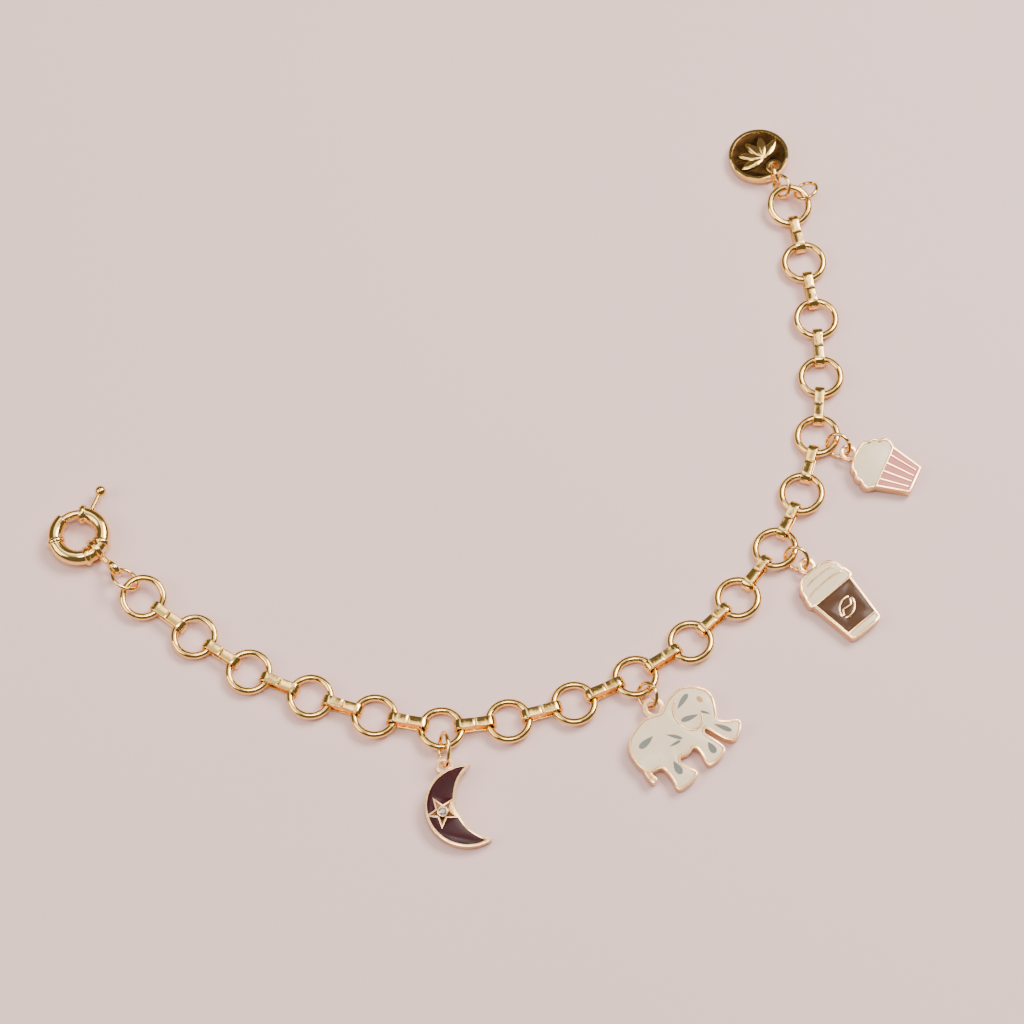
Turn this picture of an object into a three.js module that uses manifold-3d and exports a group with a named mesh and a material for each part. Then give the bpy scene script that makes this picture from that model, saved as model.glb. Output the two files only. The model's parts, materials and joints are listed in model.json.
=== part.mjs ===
// A gold-tone charm bracelet that lies unfastened on a table, in millimetres, +Z up.
// Round rings and flat ribbon links alternate along the chain. A spring ring clasp ends it on
// the left, a round tag ends it at the top right, and four enamelled charms hang on jump rings.

import * as THREE from "three";
import { mergeVertices } from "three/addons/utils/BufferGeometryUtils.js";
import Module from "manifold-3d";

const wasm = await Module();
wasm.setup();

// Chain rings and the ribbon links between them
const RING_COUNT = 18;
const RING_DIAMETER = 7.5;
const RING_WIRE = 1.15;
const LINK_THICKNESS = 0.45;
const LINK_WIDTH = 1.6;
const LINK_LENGTH = 6.82;
const LINK_PLAY = 0.2;
const CHAIN_SLACK = 0.16;

// How far each ring rolls about the line of the chain, in degrees, from the clasp to the tag
const RING_LEAN = [4, 3, 2, 0, -4, -7, -4, -4, -8, -5, -5, -8, -6, -8, -4, 0, -2, 0];
const CLASP_END_PITCH = 6;
const TAG_END_PITCH = 9;

// Chosen points of the chain's line on the table, from the clasp to the tag
const CHAIN_ROUTE = [
  [-58.05, -15.4],
  [-41.3, -27.7],
  [-21.4, -35.2],
  [-11.0, -37.3],
  [9.7, -33.1],
  [27.8, -22.9],
  [41.4, -7.4],
  [48.9, 12.2],
  [49.6, 33.2],
  [45.9, 54.2],
];

// Small round jump rings
const JUMP_WIRE = 0.62;
const CLASP_JUMP_DIAMETER = 5;
const CLASP_JUMP_LEAN = 38;
const TAG_JUMP_DIAMETER = 4.15;
const SPARE_JUMP_DIAMETER = 4.4;
const CHARM_RING_SHARE = 0.41;
const CHARM_LOOP_SHARE = 0.49;
const JUMP_PLAY = 0.1;

// Spring ring clasp: a bored tube bent into a ring, its sliding gate and its bail
const CLASP_DIAMETER = 10;
const CLASP_TUBE = 2.4;
const CLASP_BORE = 1.65;
const GATE_WIRE = 1.35;
const GATE_MOUTH_ANGLE = 94;
const GATE_CATCH_ANGLE = 137;
const GATE_CATCH_DEPTH = 3;
const GATE_TAIL_LENGTH = 36;
const COLLAR_DIAMETER = 3.1;
const COLLAR_WIDTH = 0.85;
const LEVER_ANGLE = 71.5;
const LEVER_WIRE = 0.8;
const LEVER_BALL = 1.9;
const LEVER_LENGTH = 3.3;
const LEVER_SLOT_PLAY = 0.1;
const COLLAR_ANGLES = [87.5, 202, -15.5, -64.5];
const BORE_OVERRUN = 4;
const BAIL_ANGLE = -40;
const BAIL_SWING = 2;
const BAIL_PLAY = 0.18;
const BAIL_THICKNESS = 0.6;
const BAIL_WIDTH = 0.85;
const BAIL_REACH = 4.3;
const EYE_DIAMETER = 3.1;
const EYE_WIRE = 0.68;
const CLASP_DIRECTION = 134.8;

// Cast charms, each a plate with sunk cells of enamel and a loop for its jump ring
const CHARM_THICKNESS = 1.8;
const CELL_DEPTH = 0.5;
const ENAMEL_BELOW_RIM = 0.06;
const ENAMEL_GAP = 0.04;
const CAST_RIM = 0.34;
const CELL_WALL = 0.24;
const LOOP_THICKNESS = 0.7;
const LOOP_HOLE = 1.64;

// Crescent moon with a star and a round stone
const MOON_RADIUS = 6.55;
const MOON_BITE_RADIUS = 6.8;
const MOON_BITE_OFFSET = 5.1;
const MOON_LOOP_DIAMETER = 2.7;
const MOON_LOOP_ANGLE = 103;
const STAR_RIM_OVERLAP = 0.275;
const STAR_VALLEY_SHARE = 0.426;
const STAR_SHIFT = 0.175;
const STAR_TURN = -107;
const STAR_WALL = 0.26;
const STONE_DIAMETER = 1.4;
const STONE_HEIGHT = 0.75;

// Elephant, seen from the side
const ELEPHANT_LENGTH = 17.1;
const ELEPHANT_HEIGHT = 12.5;
const ELEPHANT_LOOP_DIAMETER = 3.4;
const ELEPHANT_LOOP_HOLE = 2.0;
const TAIL_WIDTH = 0.95;
const EAR_LENGTH = 5.6;

// Takeaway cup
const CUP_HEIGHT = 13.2;
const CUP_BASE_WIDTH = 5.9;
const CUP_RIM_WIDTH = 7.8;
const CUP_LID_WIDTH = 8.8;
const CUP_LID_HEIGHT = 4.9;
const CUP_FOOT_HEIGHT = 1.5;
const CUP_LOOP_DIAMETER = 2.8;
const BEAN_LENGTH = 3.6;
const BEAN_WIDTH = 2.3;

// Cupcake
const CAKE_BASE_WIDTH = 4.9;
const CAKE_RIM_WIDTH = 7.7;
const CAKE_CASE_HEIGHT = 5.4;
const CAKE_HEIGHT = 10.6;
const CAKE_ICING_WIDTH = 9.4;
const CAKE_LOOP_DIAMETER = 2.8;
const CAKE_PLEATS = 5;
const PLEAT_FOOT_GAP = 0.24;

// Round end tag with a raised sprig
const TAG_DIAMETER = 9.9;
const TAG_THICKNESS = 1.3;
const TAG_RIM = 0.55;
const TAG_DISH = 0.3;
const TAG_HOLE = 1.6;
const TAG_HOLE_EDGE = 0.6;
const TAG_LEAVES = 5;
const TAG_LEAF_LENGTH = 4.1;
const TAG_LEAF_WIDTH = 1.2;
const TAG_LEAF_SPREAD = 37;
const TAG_LEAF_RISE = 1.2;
const TAG_HOLE_REACH = 7.45;
const TAG_DIRECTION = 107.4;
const TAG_TURN = -135;
const TAG_RAISE = 0.85;
const TAG_JUMP_RISE = 0.5;
const TAG_JUMP_SIDE = 110;
const TAG_JUMP_SHARE = 0.2;
const TAG_HOLE_SIDE = -84;
const TAG_HOLE_SHARE = 0.82;
const SPARE_SIDE = 43;
const SPARE_SHARE = 0.33;
const SPARE_RISE = 0.3;

// Facets
const RING_SIDES = 16;
const WIRE_SIDES = 6;
const JUMP_SIDES = 14;
const JUMP_WIRE_SIDES = 6;
const TUBE_SIDES = 12;
const ARC_STEPS = 6;
const CURVE_STEPS = 24;

const CAST_GOLD = new THREE.MeshStandardMaterial({ color: 0xe8b884, roughness: 0.25, metalness: 1 });
const CHAIN_GOLD = new THREE.MeshStandardMaterial({ color: 0xf0bf68, roughness: 0.16, metalness: 1 });
const MAROON = new THREE.MeshStandardMaterial({ color: 0x4a1f24, roughness: 0.15 });
const IVORY = new THREE.MeshStandardMaterial({ color: 0xe6dfcf, roughness: 0.2 });
const BROWN = new THREE.MeshStandardMaterial({ color: 0x6b4630, roughness: 0.2 });
const PINK = new THREE.MeshStandardMaterial({ color: 0xe2b0ad, roughness: 0.2 });
const CRYSTAL = new THREE.MeshStandardMaterial({ color: 0xf4f4f6, roughness: 0.02, metalness: 0.1 });

const UP = new THREE.Vector3(0, 0, 1);
const radians = THREE.MathUtils.degToRad;

function vector(x, y, z = 0) {
  return new THREE.Vector3(x, y, z);
}

function polar(radius, degrees, z = 0) {
  return vector(radius * Math.cos(radians(degrees)), radius * Math.sin(radians(degrees)), z);
}

// Solids: a closed geometry becomes a body that others can join or cut.

function solidOf(geometry) {
  const bare = geometry.index ? geometry.toNonIndexed() : geometry.clone();
  bare.deleteAttribute("normal");
  bare.deleteAttribute("uv");
  const merged = mergeVertices(bare, 1e-4);
  return new wasm.Manifold(
    new wasm.Mesh({
      numProp: 3,
      vertProperties: new Float32Array(merged.attributes.position.array),
      triVerts: new Uint32Array(merged.index.array),
    }),
  );
}

function geometryOf(solid) {
  const mesh = solid.getMesh();
  const geometry = new THREE.BufferGeometry();
  geometry.setAttribute("position", new THREE.BufferAttribute(new Float32Array(mesh.vertProperties), 3));
  geometry.setIndex(new THREE.BufferAttribute(new Uint32Array(mesh.triVerts), 1));
  return geometry;
}

function joined(solids) {
  return solids.reduce((whole, next) => whole.add(next));
}

function cutBy(solid, cutters) {
  return cutters.reduce((left, cutter) => left.subtract(cutter), solid);
}

// A flat outline raised from one height to another.
function plate(shape, low, high, curveSegments = CURVE_STEPS) {
  const options = { depth: high - low, bevelEnabled: false, curveSegments };
  return new THREE.ExtrudeGeometry(shape, options).translate(0, 0, low);
}

// A round bar of one diameter along a curve, with flat ends.
function bar(curve, diameter, steps, sides = TUBE_SIDES) {
  const section = new THREE.Shape(circlePoints(diameter / 2, sides));
  return new THREE.ExtrudeGeometry(section, { steps, extrudePath: curve, bevelEnabled: false });
}

function circlePoints(radius, sides, x = 0, y = 0) {
  return Array.from({ length: sides }, (_, i) => {
    const turn = (2 * Math.PI * i) / sides;
    return new THREE.Vector2(x + radius * Math.cos(turn), y + radius * Math.sin(turn));
  });
}

function roundBar(diameter, length, sides = TUBE_SIDES) {
  return new THREE.CylinderGeometry(diameter / 2, diameter / 2, length, sides);
}

// Outlines: lists of points, counter-clockwise, as Vector2.

function smoothOutline(rows, width, height, steps) {
  const knots = rows.map(([x, y]) => vector(x * width, y * height));
  const curve = new THREE.CatmullRomCurve3(knots, true, "centripetal");
  return curve.getPoints(steps).slice(0, -1).map((p) => new THREE.Vector2(p.x, p.y));
}

// The outline moved inwards by one distance, corner by corner.
function insetOutline(points, distance) {
  const count = points.length;
  return points.map((point, i) => {
    const before = point.clone().sub(points[(i + count - 1) % count]).normalize();
    const after = points[(i + 1) % count].clone().sub(point).normalize();
    const inward = new THREE.Vector2(-before.y - after.y, before.x + after.x).normalize();
    const miter = Math.max(0.5, -before.y * inward.x + before.x * inward.y);
    return point.clone().addScaledVector(inward, distance / miter);
  });
}

// A line of one width drawn through points, as a closed outline.
function strokeOutline(points, width) {
  const sides = [width / 2, -width / 2].map((offset) =>
    points.map((point, i) => {
      const from = points[Math.max(0, i - 1)];
      const to = points[Math.min(points.length - 1, i + 1)];
      const along = to.clone().sub(from).normalize();
      return point.clone().add(new THREE.Vector2(along.y, -along.x).multiplyScalar(offset));
    }),
  );
  return [...sides[0], ...sides[1].reverse()];
}

function arcPoints(x, y, radiusX, radiusY, startDegrees, endDegrees, steps, turnDegrees = 0) {
  const centre = new THREE.Vector2(x, y);
  return Array.from({ length: steps + 1 }, (_, i) => {
    const turn = radians(startDegrees + ((endDegrees - startDegrees) * i) / steps);
    const point = new THREE.Vector2(x + radiusX * Math.cos(turn), y + radiusY * Math.sin(turn));
    return point.rotateAround(centre, radians(turnDegrees));
  });
}

function mirroredOutline(rightHalf) {
  const left = rightHalf.map((p) => new THREE.Vector2(-p.x, p.y)).reverse();
  const seam = (p) => Math.abs(p.x) < 1e-6;
  return [...rightHalf, ...left.filter((p) => !seam(p))];
}

// Parts are collected in one group, each a named mesh.

const bracelet = new THREE.Group();

function addPart(name, geometry, material, parent = bracelet) {
  const mesh = new THREE.Mesh(geometry, material);
  mesh.name = name;
  parent.add(mesh);
  return mesh;
}

function numbered(name, index) {
  return `${name}_${String(index + 1).padStart(2, "0")}`;
}

// Chain

const ringWireRadius = RING_WIRE / 2;
const ringMiddleRadius = (RING_DIAMETER - RING_WIRE) / 2;
const ringHoleRadius = RING_DIAMETER / 2 - RING_WIRE;
const linkHeight = RING_WIRE + 2 * (LINK_PLAY + LINK_THICKNESS);
const linkHoleLength = LINK_LENGTH - 2 * LINK_THICKNESS;
// A ring's hole curves in towards the two edges of the ribbon that lies in it.
const ribbonSag = ringHoleRadius - Math.sqrt(ringHoleRadius ** 2 - (LINK_WIDTH / 2) ** 2);
const chainPitch = 2 * ringMiddleRadius + linkHoleLength - RING_WIRE - 2 * (CHAIN_SLACK + ribbonSag);
const chainHeight = linkHeight / 2;

// A point at a distance along the route, which runs on straight past its end.
function routePoint(route, distance) {
  const length = route.getLength();
  if (distance <= length) return route.getPointAt(distance / length);
  return route.getPointAt(1).addScaledVector(route.getTangentAt(1), distance - length);
}

// Ring centres, each one pitch from the last in a straight line.
function ringCentres() {
  const route = new THREE.CatmullRomCurve3(CHAIN_ROUTE.map(([x, y]) => vector(x, y)));
  const centres = [routePoint(route, 0)];
  let travelled = 0;
  while (centres.length < RING_COUNT) {
    const last = centres[centres.length - 1];
    let near = travelled;
    let far = travelled + 2 * chainPitch;
    for (let halving = 0; halving < 40; halving += 1) {
      const middle = (near + far) / 2;
      if (routePoint(route, middle).distanceTo(last) < chainPitch) near = middle;
      else far = middle;
    }
    travelled = near;
    centres.push(routePoint(route, travelled));
  }
  return centres.map((p) => p.setZ(chainHeight));
}

const centres = ringCentres();

// The direction of the chain at a ring, as an angle in the plane of the table.
function chainAngle(index) {
  const from = centres[Math.max(0, index - 1)];
  const to = centres[Math.min(RING_COUNT - 1, index + 1)];
  return Math.atan2(to.y - from.y, to.x - from.x);
}

function ringLean(index) {
  return radians(RING_LEAN[index] ?? 0);
}

// End rings are pitched up about the link that holds them, so that their free side is raised.
function endPitch(index) {
  if (index === 0) return radians(CLASP_END_PITCH);
  if (index === RING_COUNT - 1) return radians(-TAG_END_PITCH);
  return 0;
}

function ringPlacement(index) {
  const pitch = endPitch(index);
  const raised = ringMiddleRadius * Math.sin(Math.abs(pitch));
  const turn = new THREE.Quaternion().setFromAxisAngle(UP, chainAngle(index));
  const tilt = new THREE.Quaternion().setFromEuler(new THREE.Euler(ringLean(index), pitch, 0, "YXZ"));
  const centre = centres[index].clone().setZ(chainHeight + raised);
  return new THREE.Matrix4().compose(centre, turn.multiply(tilt), vector(1, 1, 1));
}

function place(mesh, matrix) {
  matrix.decompose(mesh.position, mesh.quaternion, mesh.scale);
}

function addRings() {
  for (let i = 0; i < RING_COUNT; i += 1) {
    const torus = new THREE.TorusGeometry(ringMiddleRadius, ringWireRadius, WIRE_SIDES, RING_SIDES);
    place(addPart(numbered("ring", i), torus, CHAIN_GOLD), ringPlacement(i));
  }
}

function roundEndedPath(path, length, height) {
  const straight = (length - height) / 2;
  path.absarc(straight, 0, height / 2, -Math.PI / 2, Math.PI / 2, false);
  path.absarc(-straight, 0, height / 2, Math.PI / 2, (3 * Math.PI) / 2, false);
  path.closePath();
  return path;
}

// A flat ribbon bent into a closed loop round the wires of two rings.
function linkGeometry() {
  const outline = roundEndedPath(new THREE.Shape(), LINK_LENGTH, linkHeight);
  outline.holes.push(roundEndedPath(new THREE.Path(), linkHoleLength, linkHeight - 2 * LINK_THICKNESS));
  const loop = plate(outline, -LINK_WIDTH / 2, LINK_WIDTH / 2, ARC_STEPS);
  return loop.rotateX(Math.PI / 2);
}

function addLinks() {
  for (let i = 0; i < RING_COUNT - 1; i += 1) {
    const lean = (ringLean(i) + ringLean(i + 1)) / 2;
    const from = centres[i];
    const to = centres[i + 1];
    const link = addPart(numbered("link", i), linkGeometry(), CHAIN_GOLD);
    const standing = (linkHeight * Math.cos(lean) + LINK_WIDTH * Math.sin(Math.abs(lean))) / 2;
    link.position.set((from.x + to.x) / 2, (from.y + to.y) / 2, standing);
    link.rotation.set(lean, 0, Math.atan2(to.y - from.y, to.x - from.x), "ZYX");
  }
}

// The way that a ring faces when it holds a line in one direction and leans over sideways.
function leaning(alongDegrees, leanDegrees) {
  return polar(-Math.sin(radians(leanDegrees)), alongDegrees + 90, Math.cos(radians(leanDegrees)));
}

// A jump ring whose middle is at a point and whose faces look along a direction.
function addJumpRing(name, diameter, centre, facing) {
  const torus = new THREE.TorusGeometry((diameter - JUMP_WIRE) / 2, JUMP_WIRE / 2, JUMP_WIRE_SIDES, JUMP_SIDES);
  const mesh = addPart(name, torus, CHAIN_GOLD);
  mesh.position.copy(centre);
  mesh.quaternion.setFromUnitVectors(UP, facing.clone().normalize());
  return mesh;
}

// Clasp, modelled flat about its own centre, with angles measured from the line of +X

const claspMiddleRadius = (CLASP_DIAMETER - CLASP_TUBE) / 2;
const bailHoleRadius = CLASP_TUBE / 2 + BAIL_PLAY;
const bailRadius = bailHoleRadius + BAIL_THICKNESS;
const bailHeight = bailRadius;
const claspHeight = bailHeight - BAIL_PLAY + JUMP_PLAY;

function ringArc(radius, startDegrees, endDegrees) {
  const sweep = new THREE.EllipseCurve(0, 0, radius, radius, radians(startDegrees), radians(endDegrees));
  const points = sweep.getPoints(CURVE_STEPS * 2).map((p) => vector(p.x, p.y));
  return new THREE.CatmullRomCurve3(points);
}

function collarSolid(angle) {
  const radius = COLLAR_DIAMETER / 2;
  const half = COLLAR_WIDTH / 2;
  const profile = [
    [0, -half],
    [radius * 0.86, -half],
    [radius, -half * 0.45],
    [radius, half * 0.45],
    [radius * 0.86, half],
    [0, half],
  ].map(([x, y]) => new THREE.Vector2(x, y));
  const bead = new THREE.LatheGeometry(profile, TUBE_SIDES);
  bead.rotateZ(radians(angle)).translate(...polar(claspMiddleRadius, angle).toArray());
  return solidOf(bead);
}

function claspBodySolid() {
  const tube = bar(ringArc(claspMiddleRadius, GATE_CATCH_ANGLE, 360 + GATE_MOUTH_ANGLE), CLASP_TUBE, 36);
  const tail = GATE_MOUTH_ANGLE - GATE_TAIL_LENGTH;
  const travel = gateTravel();
  const bore = bar(ringArc(claspMiddleRadius, tail - travel - BORE_OVERRUN, GATE_MOUTH_ANGLE + BORE_OVERRUN), CLASP_BORE, 18);
  const socketEnd = GATE_CATCH_ANGLE + GATE_CATCH_DEPTH + BORE_OVERRUN;
  const socket = bar(ringArc(claspMiddleRadius, GATE_CATCH_ANGLE - BORE_OVERRUN, socketEnd), CLASP_BORE, 3);
  const slotHalf = LEVER_WIRE / 2 + LEVER_SLOT_PLAY;
  const slotAngle = THREE.MathUtils.radToDeg(slotHalf / (CLASP_DIAMETER / 2 - CLASP_TUBE / 2)) + 1;
  const sector = new THREE.Shape([
    ...arcPoints(0, 0, claspMiddleRadius, claspMiddleRadius, LEVER_ANGLE - travel - slotAngle, LEVER_ANGLE + slotAngle, 10),
    ...arcPoints(0, 0, CLASP_DIAMETER, CLASP_DIAMETER, LEVER_ANGLE + slotAngle, LEVER_ANGLE - travel - slotAngle, 10),
  ]);
  const body = joined([solidOf(tube), ...COLLAR_ANGLES.map(collarSolid)]);
  return cutBy(body, [solidOf(bore), solidOf(socket), solidOf(plate(sector, -slotHalf, slotHalf))]);
}

// The gate draws back until its tip is inside the tube.
function gateTravel() {
  return GATE_CATCH_ANGLE + GATE_CATCH_DEPTH - GATE_MOUTH_ANGLE;
}

// The gate is a bent rod with a lever and a ball, made as one piece.
function gateSolid() {
  const start = GATE_MOUTH_ANGLE - GATE_TAIL_LENGTH;
  const end = GATE_CATCH_ANGLE + GATE_CATCH_DEPTH;
  const rod = bar(ringArc(claspMiddleRadius, start, end), GATE_WIRE, 18);
  const ballRadius = CLASP_DIAMETER / 2 + LEVER_LENGTH;
  const stem = roundBar(LEVER_WIRE, ballRadius - claspMiddleRadius, 10);
  stem.rotateZ(radians(LEVER_ANGLE - 90));
  stem.translate(...polar((ballRadius + claspMiddleRadius) / 2, LEVER_ANGLE).toArray());
  const ball = new THREE.SphereGeometry(LEVER_BALL / 2, 14, 10);
  ball.translate(...polar(ballRadius, LEVER_ANGLE).toArray());
  return joined([solidOf(rod), solidOf(stem), solidOf(ball)]);
}

// The bail is a flat loop round the tube with a small eye on a neck, soldered into one piece.
// It stands in the plane of X and Z, with the tube through its centre and its eye on +X.
function bailSolid() {
  const half = BAIL_WIDTH / 2;
  const soft = 0.18;
  const profile = [
    [bailHoleRadius, -half + soft],
    [bailHoleRadius + soft, -half],
    [bailRadius - soft, -half],
    [bailRadius, -half + soft],
    [bailRadius, half - soft],
    [bailRadius - soft, half],
    [bailHoleRadius + soft, half],
    [bailHoleRadius, half - soft],
    [bailHoleRadius, -half + soft],
  ].map(([x, y]) => new THREE.Vector2(x, y));
  const loop = new THREE.LatheGeometry(profile, 20);
  const eye = new THREE.TorusGeometry((EYE_DIAMETER - EYE_WIRE) / 2, EYE_WIRE / 2, 8, 14);
  eye.rotateX(Math.PI / 2).translate(BAIL_REACH, 0, 0);
  const neckStart = bailRadius - BAIL_THICKNESS / 2;
  const neckEnd = BAIL_REACH - EYE_DIAMETER / 2 + EYE_WIRE / 2;
  const neck = roundBar(EYE_WIRE * 1.15, neckEnd - neckStart, 10);
  neck.rotateZ(Math.PI / 2).translate((neckStart + neckEnd) / 2, 0, 0);
  return joined([solidOf(loop), solidOf(eye), solidOf(neck)]);
}

// Distances from the first ring's centre to what the jump ring holds
const endWireReach = ringHoleRadius - 4 * JUMP_PLAY - JUMP_WIRE / 2;
const claspJumpReach = endWireReach + (CLASP_JUMP_DIAMETER - JUMP_WIRE) / 2;
const eyeHoleRadius = EYE_DIAMETER / 2 - EYE_WIRE;
const eyeReach = endWireReach + CLASP_JUMP_DIAMETER - JUMP_WIRE + eyeHoleRadius - JUMP_WIRE / 2 - JUMP_PLAY;

function addClasp() {
  const outward = polar(1, CLASP_DIRECTION);
  const jumpCentre = centres[0].clone().addScaledVector(outward, claspJumpReach).setZ(bailHeight);
  addJumpRing("clasp_jump_ring", CLASP_JUMP_DIAMETER, jumpCentre, leaning(CLASP_DIRECTION, CLASP_JUMP_LEAN));

  const bailCentre = centres[0].clone().addScaledVector(outward, eyeReach + BAIL_REACH).setZ(bailHeight);
  const bail = addPart("clasp_bail", geometryOf(bailSolid()), CHAIN_GOLD);
  bail.position.copy(bailCentre);
  bail.rotation.z = radians(CLASP_DIRECTION + 180);

  // The bail's own angle on the tube sets how the whole clasp is turned.
  const turn = CLASP_DIRECTION + 180 + BAIL_SWING - (360 + BAIL_ANGLE);
  const clasp = new THREE.Group();
  const toCentre = polar(claspMiddleRadius, BAIL_ANGLE + turn);
  clasp.position.copy(bailCentre).sub(toCentre).setZ(claspHeight);
  clasp.rotation.z = radians(turn);
  bracelet.add(clasp);
  addPart("clasp_body", geometryOf(claspBodySolid()), CHAIN_GOLD, clasp);
  addPart("clasp_gate", geometryOf(gateSolid()), CHAIN_GOLD, clasp);
}

// Charms, each modelled upright in its own plane, with its foot at the origin and +Y towards its loop

const cellFloor = CHARM_THICKNESS - CELL_DEPTH;
const enamelTop = CHARM_THICKNESS - ENAMEL_BELOW_RIM;
const loopLow = (CHARM_THICKNESS - LOOP_THICKNESS) / 2;

function loopSolid(x, y, diameter, hole = LOOP_HOLE) {
  const ring = new THREE.Shape(circlePoints(diameter / 2, 20, x, y));
  return solidOf(plate(ring, loopLow, loopLow + LOOP_THICKNESS)).subtract(holeSolid(x, y, hole));
}

function holeSolid(x, y, diameter) {
  return solidOf(plate(new THREE.Shape(circlePoints(diameter / 2, 16, x, y)), -1, CHARM_THICKNESS + 1));
}

// Cuts cells into a plate and keeps raised walls standing in them.
function castFrame(body, cells, walls) {
  const pockets = cells.map((cell) => solidOf(plate(new THREE.Shape(cell), cellFloor, CHARM_THICKNESS + 1)));
  const standing = walls.map((wall) => solidOf(plate(new THREE.Shape(wall), cellFloor / 2, CHARM_THICKNESS)));
  return joined([cutBy(body, pockets), ...standing]);
}

// The enamel that fills one cell, drawn in a little from its edges and walls.
function enamelFill(cell, walls) {
  const low = cellFloor + ENAMEL_GAP;
  const fill = solidOf(plate(new THREE.Shape(insetOutline(cell, ENAMEL_GAP)), low, enamelTop));
  return cutBy(fill, walls.map((wall) => solidOf(plate(new THREE.Shape(wall), cellFloor / 2, CHARM_THICKNESS + 1))));
}

// Moon

function crescentOutline(inset) {
  const outer = MOON_RADIUS - inset;
  const bite = MOON_BITE_RADIUS + inset;
  const tipX = (outer * outer - bite * bite + MOON_BITE_OFFSET * MOON_BITE_OFFSET) / (2 * MOON_BITE_OFFSET);
  const tipY = Math.sqrt(outer * outer - tipX * tipX);
  const outerTip = THREE.MathUtils.radToDeg(Math.atan2(tipY, tipX));
  const biteTip = THREE.MathUtils.radToDeg(Math.atan2(tipY, tipX - MOON_BITE_OFFSET));
  const back = arcPoints(0, 0, outer, outer, outerTip, 360 - outerTip, 40);
  const front = arcPoints(MOON_BITE_OFFSET, 0, bite, bite, 360 - biteTip, biteTip, 24);
  return [...back, ...front.slice(1, -1)];
}

// The star lies across the crescent's widest place and reaches a little way into its rim.
const crescentFront = MOON_BITE_OFFSET - MOON_BITE_RADIUS;
const starRadius = (crescentFront + MOON_RADIUS) / 2 + STAR_RIM_OVERLAP;
const starCentre = (crescentFront - MOON_RADIUS) / 2 + STAR_SHIFT;

// A five-pointed star whose side points run into the crescent's rim on both sides.
function starOutline(inset) {
  const tip = starRadius - inset / Math.sin(radians(27));
  const valley = starRadius * STAR_VALLEY_SHARE - inset * 1.1;
  const points = [];
  for (let i = 0; i < 5; i += 1) {
    points.push(polar(tip, STAR_TURN + 72 * i));
    points.push(polar(valley, STAR_TURN + 72 * i + 36));
  }
  return points.map((p) => new THREE.Vector2(p.x + starCentre, p.y));
}

function moonStoneGeometry() {
  const radius = STONE_DIAMETER / 2;
  const facets = 12;
  const profile = [
    [0, -STONE_HEIGHT * 0.55],
    [radius, 0],
    [radius, STONE_HEIGHT * 0.08],
    [radius * 0.58, STONE_HEIGHT * 0.45],
    [0, STONE_HEIGHT * 0.45],
  ].map(([x, y]) => new THREE.Vector2(x, y));
  return new THREE.LatheGeometry(profile, facets).rotateX(Math.PI / 2);
}

const starFloor = cellFloor + 0.1;
const stoneHeight = starFloor + STONE_HEIGHT * 0.6;

function largestPieces(solid, count) {
  return solid
    .decompose()
    .sort((one, other) => other.volume() - one.volume())
    .slice(0, count);
}

// The crescent's two cells of enamel, above and below the star.
function moonCells(inset, starInset, low, high) {
  const area = solidOf(plate(new THREE.Shape(crescentOutline(inset)), low, high));
  const star = solidOf(plate(new THREE.Shape(starOutline(starInset)), low - 1, high + 1));
  return largestPieces(area.subtract(star), 2).sort((one, other) => other.boundingBox().max[1] - one.boundingBox().max[1]);
}

function buildMoon(group) {
  const body = solidOf(plate(new THREE.Shape(crescentOutline(0)), 0, CHARM_THICKNESS));
  const loopCentre = polar(MOON_RADIUS + MOON_LOOP_DIAMETER * 0.32, MOON_LOOP_ANGLE);
  const loop = loopSolid(loopCentre.x, loopCentre.y, MOON_LOOP_DIAMETER);
  const pockets = moonCells(CAST_RIM, 0, cellFloor, CHARM_THICKNESS + 1);
  const starCell = solidOf(plate(new THREE.Shape(starOutline(STAR_WALL)), starFloor, CHARM_THICKNESS + 1));
  const seat = new THREE.ConeGeometry(STONE_DIAMETER / 2 + ENAMEL_GAP, STONE_HEIGHT * 0.62, 12, 1);
  seat.rotateX(-Math.PI / 2).translate(starCentre, 0, stoneHeight - STONE_HEIGHT * 0.31);
  addPart("moon_frame", geometryOf(cutBy(body.add(loop), [...pockets, starCell, solidOf(seat)])), CAST_GOLD, group);

  const fills = moonCells(CAST_RIM + ENAMEL_GAP, -ENAMEL_GAP, cellFloor + ENAMEL_GAP, enamelTop);
  addPart("moon_enamel_upper", geometryOf(fills[0]), MAROON, group);
  addPart("moon_enamel_lower", geometryOf(fills[1]), MAROON, group);
  const stone = addPart("moon_stone", moonStoneGeometry(), CRYSTAL, group);
  stone.position.set(starCentre, 0, stoneHeight + ENAMEL_GAP);
  const foot = polar(MOON_RADIUS, MOON_LOOP_ANGLE - 180);
  return { loop: loopCentre, foot, diameter: MOON_LOOP_DIAMETER, hole: LOOP_HOLE };
}

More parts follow.
